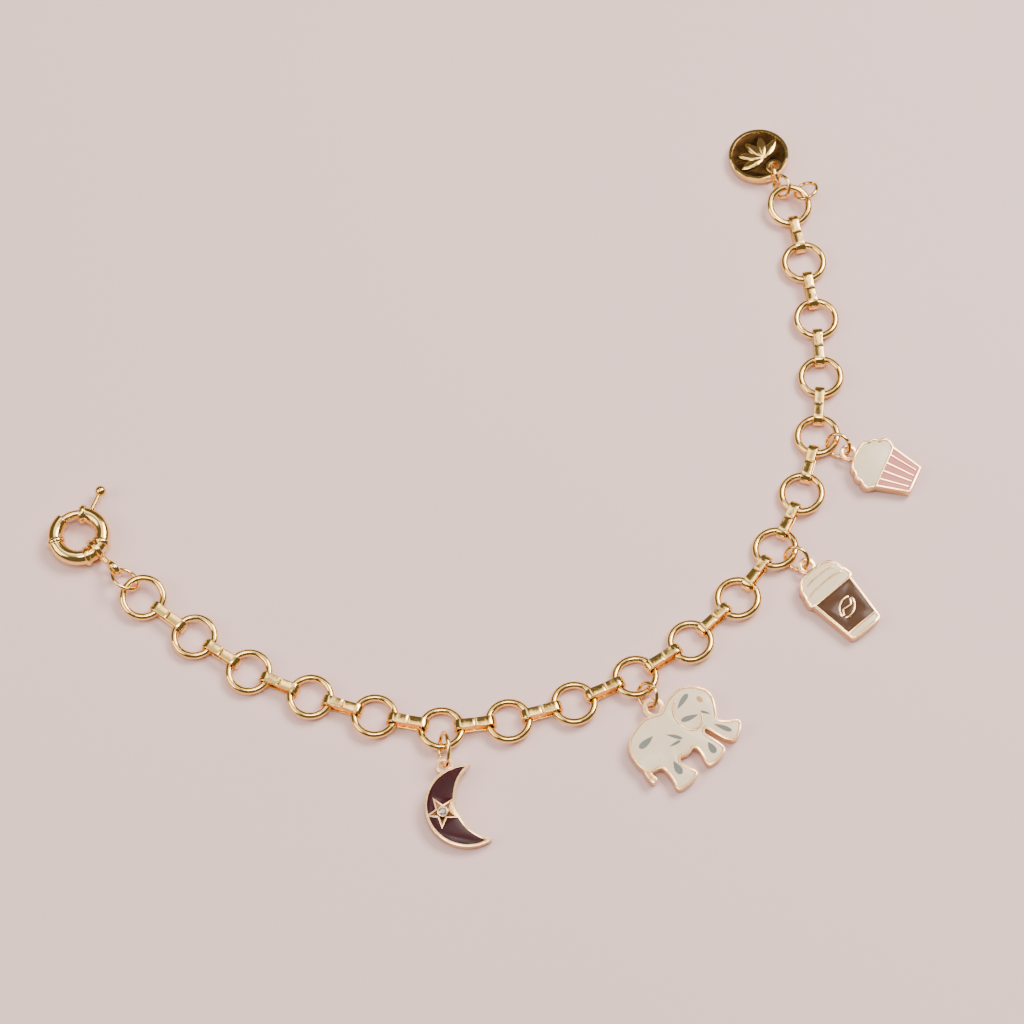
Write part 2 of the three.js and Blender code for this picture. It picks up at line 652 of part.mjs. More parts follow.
// Elephant: shares of its length and height, from the back of the hind foot and round by the trunk
const ELEPHANT_OUTLINE = [
  [-0.34, 0.061],
  [-0.313, 0.013],
  [-0.221, -0.004],
  [-0.136, 0.009],
  [-0.093, 0.053],
  [-0.123, 0.167],
  [-0.142, 0.281],
  [-0.109, 0.325],
  [-0.031, 0.285],
  [0.042, 0.303],
  [0.055, 0.228],
  [0.032, 0.105],
  [0.026, 0.022],
  [0.062, -0.004],
  [0.16, -0.009],
  [0.243, 0.035],
  [0.249, 0.123],
  [0.226, 0.254],
  [0.21, 0.36],
  [0.243, 0.395],
  [0.275, 0.263],
  [0.312, 0.123],
  [0.377, 0.039],
  [0.443, 0.066],
  [0.522, 0.154],
  [0.522, 0.215],
  [0.45, 0.289],
  [0.387, 0.382],
  [0.43, 0.474],
  [0.489, 0.605],
  [0.502, 0.746],
  [0.423, 0.917],
  [0.338, 0.991],
  [0.229, 0.996],
  [0.134, 0.969],
  [0.042, 0.908],
  [-0.024, 0.943],
  [-0.109, 0.987],
  [-0.228, 0.969],
  [-0.343, 0.917],
  [-0.419, 0.811],
  [-0.448, 0.68],
  [-0.452, 0.544],
  [-0.425, 0.439],
  [-0.366, 0.395],
  [-0.313, 0.377],
  [-0.304, 0.263],
  [-0.32, 0.14],
];

function elephantOutline(inset) {
  const outline = smoothOutline(ELEPHANT_OUTLINE, ELEPHANT_LENGTH, ELEPHANT_HEIGHT, 110);
  return inset === 0 ? outline : insetOutline(outline, inset);
}

// The ear is an open line round its back and foot.
function earWall() {
  const x = 0.215 * ELEPHANT_LENGTH;
  const y = 0.68 * ELEPHANT_HEIGHT;
  return strokeOutline(arcPoints(x, y, EAR_LENGTH * 0.36, EAR_LENGTH / 2, 100, 335, 18, -8), CELL_WALL);
}

function tailSolid() {
  const root = new THREE.Vector2(-0.41 * ELEPHANT_LENGTH, 0.52 * ELEPHANT_HEIGHT);
  const bend = new THREE.Vector2(-0.45 * ELEPHANT_LENGTH, 0.42 * ELEPHANT_HEIGHT);
  const tip = new THREE.Vector2(-0.44 * ELEPHANT_LENGTH, 0.33 * ELEPHANT_HEIGHT);
  const line = new THREE.QuadraticBezierCurve(root, bend, tip).getPoints(6);
  const tuft = solidOf(plate(new THREE.Shape(circlePoints(TAIL_WIDTH * 0.58, 12, tip.x, tip.y)), 0, CHARM_THICKNESS));
  return solidOf(plate(new THREE.Shape(strokeOutline(line, TAIL_WIDTH)), 0, CHARM_THICKNESS)).add(tuft);
}

function buildElephant(group) {
  const loopCentre = vector(0.03 * ELEPHANT_LENGTH, 0.95 * ELEPHANT_HEIGHT + ELEPHANT_LOOP_DIAMETER * 0.28);
  const loop = loopSolid(loopCentre.x, loopCentre.y, ELEPHANT_LOOP_DIAMETER, ELEPHANT_LOOP_HOLE);
  const body = solidOf(plate(new THREE.Shape(elephantOutline(0)), 0, CHARM_THICKNESS));
  const cell = elephantOutline(CAST_RIM);
  const frame = castFrame(joined([body, tailSolid(), loop]), [cell], [earWall()]);
  const whole = frame.subtract(holeSolid(loopCentre.x, loopCentre.y, ELEPHANT_LOOP_HOLE));
  addPart("elephant_frame", geometryOf(whole), CAST_GOLD, group);
  const slot = insetOutline(earWall(), -ENAMEL_GAP);
  addPart("elephant_enamel", geometryOf(enamelFill(cell, [slot])), IVORY, group);
  return { loop: loopCentre, foot: vector(0, 0), diameter: ELEPHANT_LOOP_DIAMETER, hole: ELEPHANT_LOOP_HOLE };
}

// Cup

function cupHalfWidth(y) {
  const top = CUP_HEIGHT - CUP_LID_HEIGHT;
  return (CUP_BASE_WIDTH + (CUP_RIM_WIDTH - CUP_BASE_WIDTH) * (y / top)) / 2;
}

function cupOutline() {
  const top = CUP_HEIGHT - CUP_LID_HEIGHT;
  const lid = CUP_LID_WIDTH / 2;
  return mirroredOutline(
    [
      [0, 0],
      [CUP_BASE_WIDTH * 0.28, 0.06],
      [CUP_BASE_WIDTH / 2 - 0.35, 0.22],
      [cupHalfWidth(0.55), 0.55],
      [cupHalfWidth(top), top],
      [lid - 0.1, top + 0.12],
      [lid, top + 0.45],
      [lid - 0.08, top + 0.34 * CUP_LID_HEIGHT],
      [lid * 0.92, top + 0.4 * CUP_LID_HEIGHT],
      [lid * 0.89, top + 0.66 * CUP_LID_HEIGHT],
      [lid * 0.8, top + 0.74 * CUP_LID_HEIGHT],
      [lid * 0.72, top + 0.86 * CUP_LID_HEIGHT],
      [lid * 0.52, top + 0.96 * CUP_LID_HEIGHT],
      [0, CUP_HEIGHT],
    ].map(([x, y]) => new THREE.Vector2(x, y)),
  );
}

// The part of an outline between two heights, found by cutting a plate.
function bandSolid(outline, low, high, bottom, top) {
  const area = solidOf(plate(new THREE.Shape(outline), bottom, top));
  const band = new THREE.BoxGeometry(4 * CUP_HEIGHT, high - low, 4 * CHARM_THICKNESS);
  return area.intersect(solidOf(band.translate(0, (low + high) / 2, 0)));
}

function lidWalls() {
  const top = CUP_HEIGHT - CUP_LID_HEIGHT;
  const half = CUP_LID_WIDTH / 2 - CAST_RIM;
  return [
    [0.3, 0.86, 0.5],
    [0.58, 0.72, 0.55],
  ].map(([height, reach, rise]) => {
    const y = top + height * CUP_LID_HEIGHT;
    const width = half * reach;
    return strokeOutline(arcPoints(0, y, width, rise, 180, 0, 10), CELL_WALL * 0.8);
  });
}

// A bean drawn in two open sides and a curved crease.
function beanWalls() {
  const y = (CUP_FOOT_HEIGHT + CUP_HEIGHT - CUP_LID_HEIGHT) / 2;
  const turn = 32;
  const crease = new THREE.CatmullRomCurve3(
    [
      [-0.5, 0.0],
      [-0.22, 0.2],
      [0.0, 0.0],
      [0.22, -0.2],
      [0.5, 0.0],
    ].map(([a, b]) => vector(a * BEAN_LENGTH * 0.86, b * BEAN_WIDTH)),
  );
  const middle = new THREE.Vector2(0, y);
  const line = crease.getPoints(12).map((p) => new THREE.Vector2(p.x, p.y + y).rotateAround(middle, radians(turn)));
  return [
    strokeOutline(arcPoints(0, y, BEAN_LENGTH / 2, BEAN_WIDTH / 2, 12, 168, 12, turn), CELL_WALL),
    strokeOutline(arcPoints(0, y, BEAN_LENGTH / 2, BEAN_WIDTH / 2, 192, 348, 12, turn), CELL_WALL),
    strokeOutline(line, CELL_WALL),
  ];
}

function buildCup(group) {
  const outline = cupOutline();
  const loopCentre = vector(0, CUP_HEIGHT + CUP_LOOP_DIAMETER * 0.36);
  const loop = loopSolid(loopCentre.x, loopCentre.y, CUP_LOOP_DIAMETER);
  const sleeveTop = CUP_HEIGHT - CUP_LID_HEIGHT - CELL_WALL / 2;
  const inner = insetOutline(outline, CAST_RIM);
  const fillLine = insetOutline(outline, CAST_RIM + ENAMEL_GAP);
  const cells = [
    ["foot", 0, CUP_FOOT_HEIGHT - CELL_WALL / 2, IVORY, []],
    ["sleeve", CUP_FOOT_HEIGHT + CELL_WALL / 2, sleeveTop, BROWN, beanWalls()],
    ["lid", sleeveTop + CELL_WALL, CUP_HEIGHT, IVORY, lidWalls()],
  ];
  let frame = solidOf(plate(new THREE.Shape(outline), 0, CHARM_THICKNESS)).add(loop);
  for (const [name, low, high, material, walls] of cells) {
    const raised = walls.map((wall) => solidOf(plate(new THREE.Shape(wall), cellFloor / 2, CHARM_THICKNESS)));
    frame = joined([frame.subtract(bandSolid(inner, low, high, cellFloor, CHARM_THICKNESS + 1)), ...raised]);
    const filling = bandSolid(fillLine, low + ENAMEL_GAP, high - ENAMEL_GAP, cellFloor + ENAMEL_GAP, enamelTop);
    const slots = walls.map((wall) => {
      const slot = new THREE.Shape(insetOutline(wall, -ENAMEL_GAP));
      return solidOf(plate(slot, cellFloor / 2, CHARM_THICKNESS + 1));
    });
    addPart(`cup_${name}_enamel`, geometryOf(cutBy(filling, slots)), material, group);
  }
  addPart("cup_frame", geometryOf(frame), CAST_GOLD, group);
  return { loop: loopCentre, foot: vector(0, 0), diameter: CUP_LOOP_DIAMETER, hole: LOOP_HOLE };
}

// Cupcake

function cakeCaseHalfWidth(y) {
  return (CAKE_BASE_WIDTH + ((CAKE_RIM_WIDTH - CAKE_BASE_WIDTH) * y) / CAKE_CASE_HEIGHT) / 2;
}

// Right half of the icing in shares of its half width and of its height above the paper case
const ICING_OUTLINE = [
  [0.86, 0.03],
  [0.97, 0.14],
  [1.0, 0.28],
  [0.95, 0.41],
  [0.84, 0.48],
  [0.85, 0.57],
  [0.8, 0.68],
  [0.7, 0.74],
  [0.63, 0.76],
  [0.62, 0.84],
  [0.52, 0.92],
  [0.36, 0.97],
];

function cakeOutline() {
  const icing = CAKE_HEIGHT - CAKE_CASE_HEIGHT;
  const half = CAKE_ICING_WIDTH / 2;
  return mirroredOutline([
    new THREE.Vector2(0, 0),
    new THREE.Vector2(CAKE_BASE_WIDTH / 2, 0),
    new THREE.Vector2(CAKE_RIM_WIDTH / 2, CAKE_CASE_HEIGHT),
    ...ICING_OUTLINE.map(([x, y]) => new THREE.Vector2(x * half, CAKE_CASE_HEIGHT + y * icing)),
    new THREE.Vector2(0, CAKE_HEIGHT),
  ]);
}

// Straight pleat walls fan out up the paper case and stop just short of its foot.
function pleatWalls() {
  const walls = [];
  const foot = CAST_RIM + PLEAT_FOOT_GAP;
  for (let i = 1; i < CAKE_PLEATS; i += 1) {
    const share = (2 * i) / CAKE_PLEATS - 1;
    const low = new THREE.Vector2(share * cakeCaseHalfWidth(foot), foot);
    const high = new THREE.Vector2(share * cakeCaseHalfWidth(CAKE_CASE_HEIGHT), CAKE_CASE_HEIGHT);
    walls.push(strokeOutline([low, high], CELL_WALL));
  }
  return walls;
}

function buildCupcake(group) {
  const outline = cakeOutline();
  const loopCentre = vector(0, CAKE_HEIGHT + CAKE_LOOP_DIAMETER * 0.36);
  const loop = loopSolid(loopCentre.x, loopCentre.y, CAKE_LOOP_DIAMETER);
  const inner = insetOutline(outline, CAST_RIM);
  const fillLine = insetOutline(outline, CAST_RIM + ENAMEL_GAP);
  const cells = [
    ["case", 0, CAKE_CASE_HEIGHT - CELL_WALL / 2, PINK, pleatWalls()],
    ["icing", CAKE_CASE_HEIGHT + CELL_WALL / 2, CAKE_HEIGHT, IVORY, []],
  ];
  let frame = solidOf(plate(new THREE.Shape(outline), 0, CHARM_THICKNESS)).add(loop);
  for (const [name, low, high, material, walls] of cells) {
    const raised = walls.map((wall) => solidOf(plate(new THREE.Shape(wall), cellFloor / 2, CHARM_THICKNESS)));
    frame = joined([frame.subtract(bandSolid(inner, low, high, cellFloor, CHARM_THICKNESS + 1)), ...raised]);
    const filling = bandSolid(fillLine, low + ENAMEL_GAP, high - ENAMEL_GAP, cellFloor + ENAMEL_GAP, enamelTop);
    const slots = walls.map((wall) => {
      const slot = new THREE.Shape(insetOutline(wall, -ENAMEL_GAP));
      return solidOf(plate(slot, cellFloor / 2, CHARM_THICKNESS + 1));
    });
    addPart(`cupcake_${name}_enamel`, geometryOf(cutBy(filling, slots)), material, group);
  }
  addPart("cupcake_frame", geometryOf(frame), CAST_GOLD, group);
  return { loop: loopCentre, foot: vector(0, 0), diameter: CAKE_LOOP_DIAMETER, hole: LOOP_HOLE };
}

// Tag: a dished disc with raised leaves, its hole near the edge on +Y

function leafOutline(turnDegrees) {
  const half = TAG_LEAF_WIDTH / 2;
  const length = TAG_LEAF_LENGTH;
  const side = (sign) =>
    new THREE.QuadraticBezierCurve(
      new THREE.Vector2(0, 0),
      new THREE.Vector2(2 * half * sign, length * 0.45),
      new THREE.Vector2(0, length),
    ).getPoints(7);
  const outline = [...side(1), ...side(-1).reverse().slice(1, -1)];
  return outline.map((p) => p.rotateAround(new THREE.Vector2(0, 0), radians(turnDegrees)));
}

function buildTag(group) {
  const radius = TAG_DIAMETER / 2;
  const centreY = radius;
  const holeY = centreY + radius - TAG_HOLE_EDGE - TAG_HOLE / 2;
  const disc = new THREE.Shape(circlePoints(radius, 40, 0, centreY));
  const dish = new THREE.Shape(circlePoints(radius - TAG_RIM, 36, 0, centreY));
  const pad = new THREE.Shape(circlePoints(TAG_HOLE / 2 + TAG_RIM, 16, 0, holeY));
  const dishFloor = TAG_THICKNESS - TAG_DISH;
  let solid = solidOf(plate(disc, 0, TAG_THICKNESS));
  solid = solid.subtract(solidOf(plate(dish, dishFloor, TAG_THICKNESS + 1)));
  const raised = [solidOf(plate(pad, dishFloor / 2, TAG_THICKNESS))];
  for (let i = 0; i < TAG_LEAVES; i += 1) {
    const turn = (i - (TAG_LEAVES - 1) / 2) * TAG_LEAF_SPREAD + 180;
    const leaf = leafOutline(turn).map((p) => p.add(new THREE.Vector2(0, centreY + TAG_LEAF_RISE)));
    raised.push(solidOf(plate(new THREE.Shape(leaf), dishFloor / 2, TAG_THICKNESS - 0.02)));
  }
  solid = joined([solid, ...raised]);
  const hole = solidOf(plate(new THREE.Shape(circlePoints(TAG_HOLE / 2, 16, 0, holeY)), -1, TAG_THICKNESS + 1));
  addPart("tag_disc", geometryOf(solid.subtract(hole)), CHAIN_GOLD, group);
  return { loop: vector(0, holeY), foot: vector(0, 0) };
}

// Where each charm hangs: the ring that holds it, the side of that ring in degrees, its jump ring's
// diameter and lean from level, how far its loop sits below the middle of the jump ring, and its turn
const HANGINGS = [
  { name: "moon", ring: 6, side: -83, jump: 5.8, lean: 75, drop: 1.1, turn: 16, build: buildMoon },
  { name: "elephant", ring: 9, side: -61, jump: 4.5, lean: 54, drop: 0.35, turn: 42, build: buildElephant },
  { name: "cup", ring: 12, side: -32, jump: 4.5, lean: 56, drop: 0.35, turn: 41, build: buildCup },
  { name: "cupcake", ring: 14, side: -32, jump: 4.5, lean: 56, drop: 0.35, turn: 66, build: buildCupcake },
];

// The middle of a ring's wire on the side that faces one way.
function wirePoint(index, sideDegrees) {
  const local = polar(ringMiddleRadius, sideDegrees - THREE.MathUtils.radToDeg(chainAngle(index)));
  return local.applyMatrix4(ringPlacement(index));
}

// Lays a charm on the table with its foot down and its loop raised to a point.
function layDown(group, loop, foot, turnDegrees, loopPoint, raised) {
  const rise = loop.clone().sub(foot);
  const tiltAxis = vector(rise.y, -rise.x).normalize();
  const tilt = new THREE.Quaternion().setFromAxisAngle(tiltAxis, Math.asin(raised / rise.length()));
  group.quaternion.setFromAxisAngle(UP, radians(turnDegrees)).multiply(tilt);
  const footHeight = foot.clone().applyQuaternion(group.quaternion).z;
  group.position.copy(loopPoint).sub(loop.clone().applyQuaternion(group.quaternion)).setZ(-footHeight);
}

function hangCharm({ name, ring, side, jump, lean, drop, turn, build }) {
  const group = new THREE.Group();
  bracelet.add(group);
  const { loop, foot, diameter, hole } = build(group);
  const jumpHole = jump / 2 - JUMP_WIRE;
  const height = (jump / 2) * Math.sin(radians(lean)) + JUMP_PLAY;
  const centre = wirePoint(ring - 1, side).add(polar(jumpHole * CHARM_RING_SHARE, side)).setZ(height);
  addJumpRing(`${name}_jump_ring`, jump, centre, leaning(side, lean));
  const loopReach = jumpHole * CHARM_LOOP_SHARE + (diameter + hole) / 4;
  const aside = drop / Math.tan(radians(lean));
  const loopPoint = centre.clone().add(polar(loopReach, side)).add(polar(-aside, side + 90));
  layDown(group, loop, foot, turn, loopPoint, height - drop - CHARM_THICKNESS / 2);
}

// The tag hangs on two jump rings from the last ring, and a spare ring hangs beside them.
function addTagEnd() {
  const last = new THREE.Vector3().setFromMatrixPosition(ringPlacement(RING_COUNT - 1));
  const middle = (TAG_JUMP_DIAMETER - JUMP_WIRE) / 2;
  const first = polar(ringMiddleRadius + TAG_JUMP_SHARE * middle, TAG_JUMP_SIDE, TAG_JUMP_RISE).add(last);
  addJumpRing("tag_jump_ring_1", TAG_JUMP_DIAMETER, first, vector(-0.74, -0.41, 0.53));

  const group = new THREE.Group();
  bracelet.add(group);
  const { loop, foot } = buildTag(group);
  const holePoint = polar(TAG_HOLE_REACH, TAG_DIRECTION).add(last);
  layDown(group, loop, foot, TAG_TURN, holePoint, TAG_RAISE);
  const second = polar(TAG_HOLE_SHARE * middle, TAG_HOLE_SIDE).add(holePoint).setZ(TAG_RAISE + TAG_THICKNESS / 2 + TAG_JUMP_RISE);
  addJumpRing("tag_jump_ring_2", TAG_JUMP_DIAMETER, second, vector(0.92, 0.29, 0.25));

  const spareMiddle = (SPARE_JUMP_DIAMETER - JUMP_WIRE) / 2;
  const spare = polar(ringMiddleRadius + SPARE_SHARE * spareMiddle, SPARE_SIDE, SPARE_RISE).add(last);
  addJumpRing("spare_ring", SPARE_JUMP_DIAMETER, spare, vector(-0.39, 0.35, 0.85));
}

addRings();
addLinks();
addClasp();
HANGINGS.forEach(hangCharm);
addTagEnd();

const box = new THREE.Box3().setFromObject(bracelet, true);
bracelet.position.set(-(box.min.x + box.max.x) / 2, -(box.min.y + box.max.y) / 2, -box.min.z);

export default bracelet;
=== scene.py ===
"""Gold-tone charm bracelet with enamelled charms, lying unfastened on a pale table."""

import json
import math

import bmesh
import bpy
import numpy as np
from mathutils import Matrix, Quaternion, Vector


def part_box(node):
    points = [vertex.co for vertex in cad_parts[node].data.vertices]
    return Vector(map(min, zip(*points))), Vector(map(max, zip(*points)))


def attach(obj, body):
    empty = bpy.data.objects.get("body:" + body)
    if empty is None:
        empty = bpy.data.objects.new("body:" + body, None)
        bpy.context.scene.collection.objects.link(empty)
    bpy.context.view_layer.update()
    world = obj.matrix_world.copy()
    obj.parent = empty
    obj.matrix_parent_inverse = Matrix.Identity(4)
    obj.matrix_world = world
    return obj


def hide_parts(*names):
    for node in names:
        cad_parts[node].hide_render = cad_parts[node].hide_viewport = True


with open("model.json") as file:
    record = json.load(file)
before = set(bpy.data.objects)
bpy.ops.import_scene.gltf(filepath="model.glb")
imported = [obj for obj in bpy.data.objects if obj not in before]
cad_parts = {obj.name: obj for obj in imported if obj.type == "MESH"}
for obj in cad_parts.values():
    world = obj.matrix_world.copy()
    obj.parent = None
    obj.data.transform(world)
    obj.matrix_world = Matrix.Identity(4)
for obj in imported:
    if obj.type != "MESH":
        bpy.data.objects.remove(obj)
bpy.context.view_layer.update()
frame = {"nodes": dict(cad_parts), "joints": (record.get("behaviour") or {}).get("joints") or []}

MM = 0.001
UP = Vector((0, 0, 1))
WELD = 0.004 * MM
PLATE_WELD = 0.006 * MM

# Chain rings and ribbon links
RING_WIRE = 1.15 * MM
LINK_LENGTH = 6.82 * MM
LINK_THICKNESS = 0.45 * MM
LINK_WIDTH = 1.6 * MM
LINK_HEIGHT = 2.45 * MM
RIBBON_EDGE = 0.13 * MM
RIBBON_SEAM = 0.05 * MM
RIBBON_END_EASE = 0.05 * MM
RIBBON_WAIST = 0.05
RIBBON_STEPS = 5
RIBBON_BEND_STEPS = 14

# Jump rings are wound from round wire and closed edge to edge
JUMP_WIRE = 0.62 * MM
JUMP_CUT = 1.6

# Spring ring clasp: angles are in degrees from its own X axis
CLASP_TURN = -3.2
CLASP_MIDDLE = 3.8 * MM
CLASP_TUBE = 2.4 * MM
CLASP_BORE = 1.65 * MM
GATE_MOUTH = 94
GATE_CATCH = 137
GATE_TAIL = 58
GATE_TIP = 140
GATE_TRAVEL = 46
GATE_WIRE = 1.35 * MM
GATE_END_EASE = 0.22 * MM
TUBE_END_EASE = 0.24 * MM
BORE_PAST_MOUTH = 4
COLLAR_ANGLES = (87.5, 202, -15.5, -64.5)
COLLAR_DIAMETER = 3.1 * MM
COLLAR_WIDTH = 1.0 * MM
COLLAR_SUNK = 0.1 * MM
COLLAR_STEP = 0.04 * MM
COLLAR_SHOULDER = 0.02 * MM
COLLAR_BEAD = 0.86
LEVER_ANGLE = 71.5
LEVER_WIRE = 0.8 * MM
LEVER_TAPER = 0.9
LEVER_BALL = 1.9 * MM
LEVER_REACH = 8.3 * MM
SLOT_HALF = 0.5 * MM
SLOT_MARGIN = 8.5
BAIL_ANGLE = -40
BAIL_DIRECTION = 314.8
BAIL_INNER = 1.38 * MM
BAIL_OUTER = 1.98 * MM
BAIL_WIDTH = 0.85 * MM
BAIL_REACH = 4.3 * MM
BAIL_EDGE = 0.2 * MM
BAIL_EDGE_BITE = 0.3
BAIL_EYE_DIAMETER = 3.1 * MM
BAIL_EYE_WIRE = 0.68 * MM
BAIL_EYE_SPREAD = 1.45

# The neck's radii at its two ends, as shares of the eye's wire
BAIL_NECK_ROOT = 0.78
BAIL_NECK_TIP = 0.6

# Cast charms: heights are measured from the back of each plate, and a sunk floor lies between two; its
# level faces are painted darker gold as shade
STAR_FLOOR = (1.36 * MM, 1.5 * MM)
TAG_FLOOR = (0.9 * MM, 1.1 * MM)
ENAMEL_TOP = 1.74 * MM
LARGE_CAST_EASE = 0.09 * MM
SMALL_CAST_EASE = 0.08 * MM
TAG_EASE = 0.1 * MM
ENAMEL_EASE = 0.05 * MM
MOON_ENAMEL_EASE = 0.07 * MM

# A face of a plate is level when the cosine of its lean is above this
LEVEL = 0.985

# Faces that meet within the first two angles are one face; edges are eased or kept sharp past the others
FLAT_ANGLE = math.radians(1.5)
FACET_ANGLE = math.radians(1)
CREASE_ANGLE = math.radians(38)
SHARP_ANGLE = math.radians(40)
ROD_SHARP_ANGLE = math.radians(50)

# The moon's stone: rings of facet corners as count, shares of radius and height, and turn in degrees
STONE_RADIUS = 0.7 * MM
STONE_HEIGHT = 0.75 * MM
STONE_RINGS = (
    (8, 0.56, 0.45, 0.0),
    (8, 0.82, 0.27, 22.5),
    (16, 1.0, 0.06, 0.0),
    (16, 1.0, 0.0, 0.0),
)
STONE_POINT = -0.55
STONE_LIFT = 0.05
BEZEL_WIRE = 0.24 * MM
BEZEL_OVERLAP = 0.35

# The standing elephant's turn, its left and top edges, and its inlaid leaves and eye.
# A leaf is x, y, length and width in millimetres, then its turn in degrees and its curl.
ELEPHANT_TURN = 42
ELEPHANT_LEFT = -8.075 * MM
ELEPHANT_TOP = 14.527 * MM
ELEPHANT_LEAVES = (
    (-4.3, 9.2, 2.9, 1.1, -6, 0.3),
    (-3.45, 3.15, 2.4, 1.2, 78, 0.0),
    (2.75, 2.05, 2.1, 1.15, 80, 0.0),
    (-0.36, 7.2, 2.6, 0.6, 121, 0.25),
    (-1.1, 6.2, 2.0, 0.5, 171, -0.2),
    (4.4, 10.6, 3.0, 0.9, 190, 0.3),
    (3.5, 7.8, 2.9, 0.9, -20, 0.0),
    (5.9, 6.8, 1.6, 0.4, -60, 0.2),
    (6.3, 3.3, 3.0, 0.8, 115, 0.1),
)
LEAF_SINK = 0.06 * MM
LEAF_DEPTH = 0.085 * MM
LEAF_TAPER = 1.25
ELEPHANT_EYE = (6.7 * MM, 9.0 * MM)
ELEPHANT_EYE_SIZE = (0.85 * MM, 0.85 * 1.4 * MM, 0.1 * MM)

# The tag's leaves: low domes that fan out from one root, each measured from there to its middle
TAG_TURN = -135
TAG_TOP = 1.3 * MM
TAG_LEAVES = 5
TAG_LEAF_SPREAD = 37
TAG_LEAF_ROOT = 6.15 * MM
TAG_LEAF_MIDDLE = 2.15 * MM
TAG_LEAF_SINK = 0.06 * MM
TAG_LEAF_SIZE = (1.575 * MM, 4.214 * MM, 0.5 * MM)
TAG_LEAF_NARROWING = 0.9
TAG_LEAF_POWER = 1.6

# Jump rings: outer diameter, and the turn of the cut in degrees
JUMP_RINGS = (
    ("clasp_jump_ring", 5.0 * MM, 60),
    ("moon_jump_ring", 5.8 * MM, 200),
    ("elephant_jump_ring", 4.5 * MM, 30),
    ("cup_jump_ring", 4.5 * MM, 80),
    ("cupcake_jump_ring", 4.5 * MM, 20),
    ("tag_jump_ring_1", 4.15 * MM, 100),
    ("tag_jump_ring_2", 4.15 * MM, 10),
    ("spare_ring", 4.4 * MM, 40),
)
RING_COUNT = 18
LINK_COUNT = 17

# Soft lamps in metres and watts: name, place, width, height, power and tint, each aimed at the middle
LAMPS = (
    ("key_panel", (0.45, 0.35, 0.7), 0.5, 0.36, 10.0, (1.0, 0.97, 0.94)),
    ("fill_panel", (-0.6, -0.15, 0.55), 0.46, 0.5, 3.4, (1.0, 0.96, 0.95)),
    ("sky_panel", (0.0, 0.16, 0.95), 0.85, 0.62, 1.55, (1.0, 0.93, 0.89)),
    ("left_strip", (-0.17, 0.36, 0.74), 0.13, 0.36, 0.42, (1.0, 0.96, 0.94)),
    ("right_strip", (0.11, 0.36, 0.74), 0.13, 0.36, 0.42, (1.0, 0.96, 0.94)),
    ("top_panel", (0.0, -0.1, 0.85), 0.3, 0.2, 2.6, (1.0, 0.98, 0.97)),
)
ROOM_LIGHT = (0.94, 0.86, 0.81, 1)
ROOM_STRENGTH = 0.16
TABLE_HALF = 1.5

CAMERA_TARGET = Vector((0.004144, -0.006295, 0.0))
CAMERA_PLACE = Vector((0.004144, -0.239765, 0.52438))
CAMERA_LENS = 126.56
CAMERA_SENSOR = 36
CAMERA_NEAR = 0.01
CAMERA_FAR = 20


# Mesh helpers


def new_piece(name, bm, materials, body, nodes, smooth=True):
    """Makes an object from a bmesh, in place, riding on a body and standing for its CAD nodes."""
    mesh = bpy.data.meshes.new(name)
    bm.to_mesh(mesh)
    bm.free()
    piece = bpy.data.objects.new(name, mesh)
    bpy.context.scene.collection.objects.link(piece)
    for material in materials:
        mesh.materials.append(material)
    for face in mesh.polygons:
        face.use_smooth = smooth
    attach(piece, body)
    if nodes:
        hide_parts(*nodes)
    return piece


def welded(bm):
    bmesh.ops.remove_doubles(bm, verts=bm.verts, dist=WELD)
    bmesh.ops.recalc_face_normals(bm, faces=bm.faces)
    return bm


def moved(bm, matrix):
    bmesh.ops.transform(bm, matrix=matrix, verts=bm.verts)
    return bm


def about(axis, degrees):
    return Matrix.Rotation(math.radians(degrees), 4, axis)


def added(target, source, matrix=None):
    """Adds one bmesh to another, moved by a matrix."""
    if matrix is not None:
        moved(source, matrix)
    part = bpy.data.meshes.new("part")
    source.to_mesh(part)
    source.free()
    target.from_mesh(part)
    bpy.data.meshes.remove(part)
    return target


def with_filled_ends(bm):
    open_edges = [edge for edge in bm.edges if edge.is_boundary]
    bmesh.ops.holes_fill(bm, edges=open_edges, sides=0)
    return welded(bm)


def ease_end_faces(bm, width, segments):
    """Rounds the rims of the end caps, which are the only faces with more than four corners."""
    rims = [edge for face in bm.faces if len(face.verts) > 4 for edge in face.edges]
    bmesh.ops.bevel(
        bm, geom=rims, offset=width, segments=segments, profile=0.5, affect="EDGES", material=-1
    )


def spun(bm, degrees, steps):
    """Spins an outline about Z: a whole turn closes on itself, and a part turn has its ends filled."""
    whole = degrees == 360
    bmesh.ops.spin(
        bm,
        geom=bm.verts[:] + bm.edges[:],
        cent=(0, 0, 0),
        axis=(0, 0, 1),
        angle=math.radians(degrees),
        steps=steps,
        use_merge=whole,
        use_duplicate=False,
    )
    return welded(bm) if whole else with_filled_ends(bm)


def swept_circle(middle, diameter, start, end, steps, sides):
    """A round tube swept about Z between two angles in degrees."""
    bm = bmesh.new()
    stand = Matrix.Translation((middle, 0, 0)) @ about("X", 90)
    bmesh.ops.create_circle(bm, cap_ends=False, segments=sides, radius=diameter / 2, matrix=stand)
    moved(bm, about("Z", start))
    return spun(bm, end - start, steps)


def outline(points):
    """A closed outline of (radius, height) points that stands on the X axis."""
    bm = bmesh.new()
    corners = [bm.verts.new((radius, 0, height)) for radius, height in points]
    for one, other in zip(corners, corners[1:] + corners[:1]):
        bm.edges.new((one, other))
    return bm


def cone(start_radius, end_radius, start, end):
    """A tapered round rod along Z between two heights."""
    bm = bmesh.new()
    bmesh.ops.create_cone(
        bm,
        cap_ends=True,
        segments=20,
        radius1=start_radius,
        radius2=end_radius,
        depth=end - start,
        matrix=Matrix.Translation((0, 0, (start + end) / 2)),
    )
    return bm


